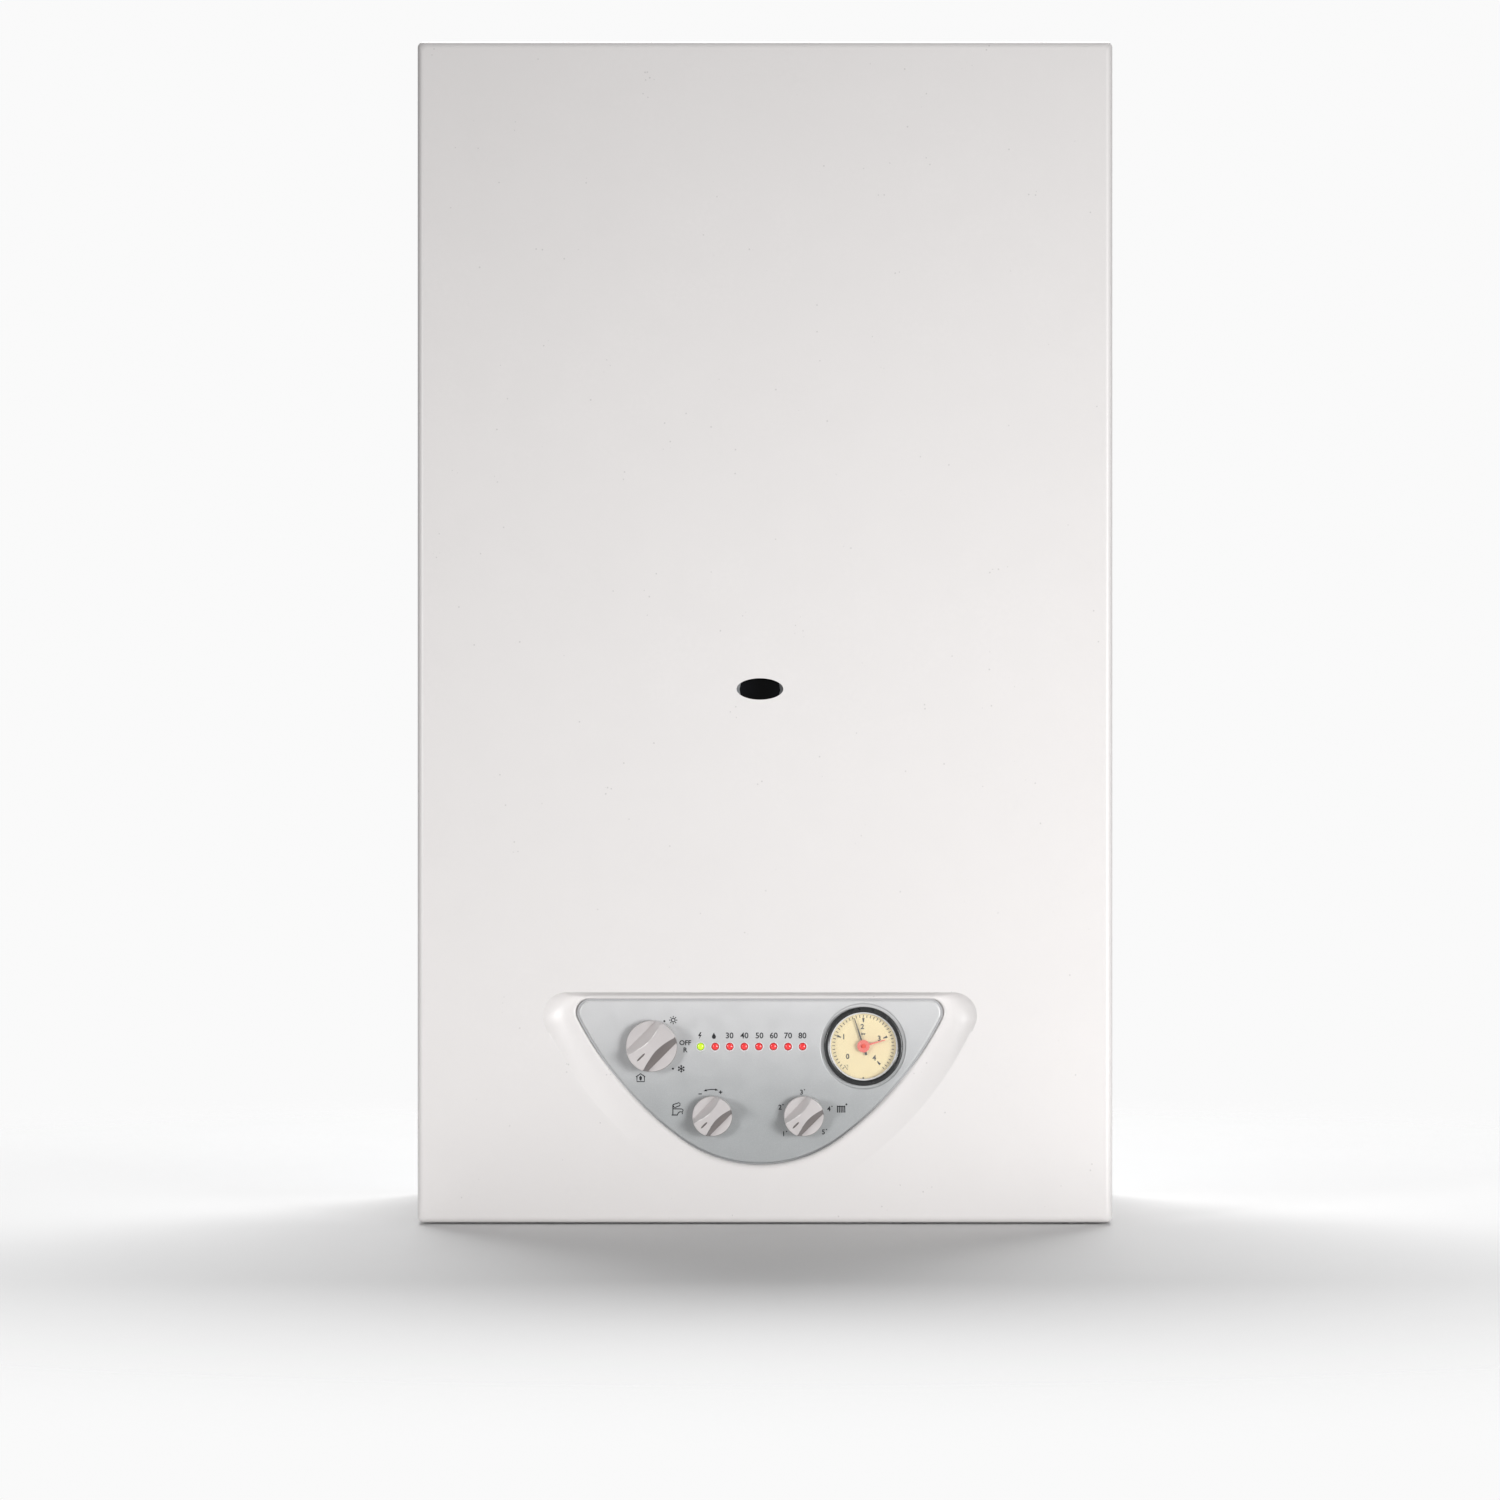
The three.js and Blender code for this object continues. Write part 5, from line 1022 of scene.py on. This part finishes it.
def put_on(node, finish):
    """Gives a CAD node a finish and smooth shading."""
    node.data.materials.clear()
    node.data.materials.append(finish.material)
    soften(node, 47)


def dress_nodes():
    """Gives each CAD node the finish of its slot, and the sight glass a near-black one that stands in
    for the shade behind it.
    """
    for node in NODES.values():
        put_on(node, FINISHES[node.data.materials[0].name.split(".")[0]])
    put_on(NODES["sight_glass"], SIGHT_SHADE)


# ------------------------------------------------------------------ stage


GROUND = 0.955
WORLD = (0.13, 0.131, 0.133)
FLOOR_DROP = 1.2
FLOOR_MIDDLE = 130.0
FLOOR_RADII = (1, 400, 800, 1400)
FADE_START, FADE_END = 0.5, 1.15


def backdrop_white():
    """A dim grey world for the light, seen by the camera as a near-white ground."""
    world = bpy.data.worlds.new("studio")
    bpy.context.scene.world = world
    world.use_nodes = True
    tree = world.node_tree
    tree.nodes.clear()
    out = tree.nodes.new("ShaderNodeOutputWorld")
    light = tree.nodes.new("ShaderNodeBackground")
    light.inputs["Color"].default_value = (*WORLD, 1)
    seen = tree.nodes.new("ShaderNodeBackground")
    seen.inputs["Color"].default_value = (GROUND, GROUND, GROUND, 1)
    path = tree.nodes.new("ShaderNodeLightPath")
    mix = tree.nodes.new("ShaderNodeMixShader")
    tree.links.new(path.outputs["Is Camera Ray"], mix.inputs["Fac"])
    tree.links.new(light.outputs["Background"], mix.inputs[1])
    tree.links.new(seen.outputs["Background"], mix.inputs[2])
    tree.links.new(mix.outputs["Shader"], out.inputs["Surface"])


def floor():
    """A white floor that fades into the ground away from the object."""
    skin = Skin()
    flat = [arc((0, -FLOOR_MIDDLE), r, 0, 2 * math.pi, 96)[:-1] for r in FLOOR_RADII]
    rings = skin.rings([[(x, y, -FLOOR_DROP) for x, y in outline] for outline in flat])
    skin.faces.append(tuple(rings[0]))
    mesh = bpy.data.meshes.new("floor")
    mesh.from_pydata([metres(p) for p in skin.points], [], skin.faces)
    obj = bpy.data.objects.new("floor", mesh)
    bpy.context.scene.collection.objects.link(obj)
    paint = Finish("floor_white", (0.82, 0.82, 0.82), 0.9)
    paint.mottle(3, 0.01)
    centre = paint.node("ShaderNodeMapping", Vector=paint.place)
    centre.inputs["Location"].default_value = (0, FLOOR_MIDDLE / 1000, (HANG + FLOOR_DROP) / 1000)
    length = paint.tree.nodes.new("ShaderNodeVectorMath")
    length.operation = "LENGTH"
    paint.tree.links.new(centre.outputs["Vector"], length.inputs[0])
    fade = paint.spread(length.outputs["Value"], FADE_START, FADE_END, 1.0, 0.0)
    clear = paint.tree.nodes.new("ShaderNodeBsdfTransparent")
    mix = paint.tree.nodes.new("ShaderNodeMixShader")
    paint.tree.links.new(fade, mix.inputs["Fac"])
    paint.tree.links.new(clear.outputs["BSDF"], mix.inputs[1])
    paint.tree.links.new(paint.shader.outputs["BSDF"], mix.inputs[2])
    paint.tree.links.new(mix.outputs["Shader"], paint.tree.nodes["Material Output"].inputs["Surface"])
    obj.data.materials.append(paint.material)


def lamp(name, at, aim, wide, tall, power, angle=180):
    """A soft rectangular light, in metres and watts, with its beam's spread in degrees."""
    data = bpy.data.lights.new(name, "AREA")
    data.shape = "RECTANGLE"
    data.size = wide
    data.size_y = tall
    data.energy = power
    data.spread = math.radians(angle)
    made = bpy.data.objects.new(name, data)
    bpy.context.scene.collection.objects.link(made)
    made.location = at
    made.rotation_euler = (Vector(aim) - Vector(at)).to_track_quat("-Z", "Y").to_euler()


def lights():
    """A broad light high behind, whose shadow falls forward, and a weak one to each side in front."""
    lamp("soft_above", (0, 2.6, 3.6), (0, -0.25, -0.69), 4.2, 2.3, 305)
    lamp("soft_right", (1.5, -2.3, -0.45), (0.1, -0.24, -0.4), 1.0, 0.9, 14.2, 100)
    lamp("soft_left", (-1.6, -2.2, -0.2), (0.5, -0.24, -0.5), 0.6, 0.5, 3.0, 60)


def camera():
    """Straight on, from a little below the casing's middle, placed in metres."""
    data = bpy.data.cameras.new("camera")
    data.lens = 121.4
    data.sensor_width = 36
    made = bpy.data.objects.new("camera", data)
    bpy.context.scene.collection.objects.link(made)
    made.location = (-0.0095, -3.44, -0.3887)
    made.rotation_euler = (QUARTER, 0, 0)
    bpy.context.scene.camera = made


bpy.context.scene.view_settings.view_transform = "Standard"
dress_nodes()
front_cover()
sight_tube()
fascia()
for part in KNOBS:
    knob(part)
gauge()
lamps()
dial_print()
legends()
fixings()
backdrop_white()
floor()
lights()
camera()
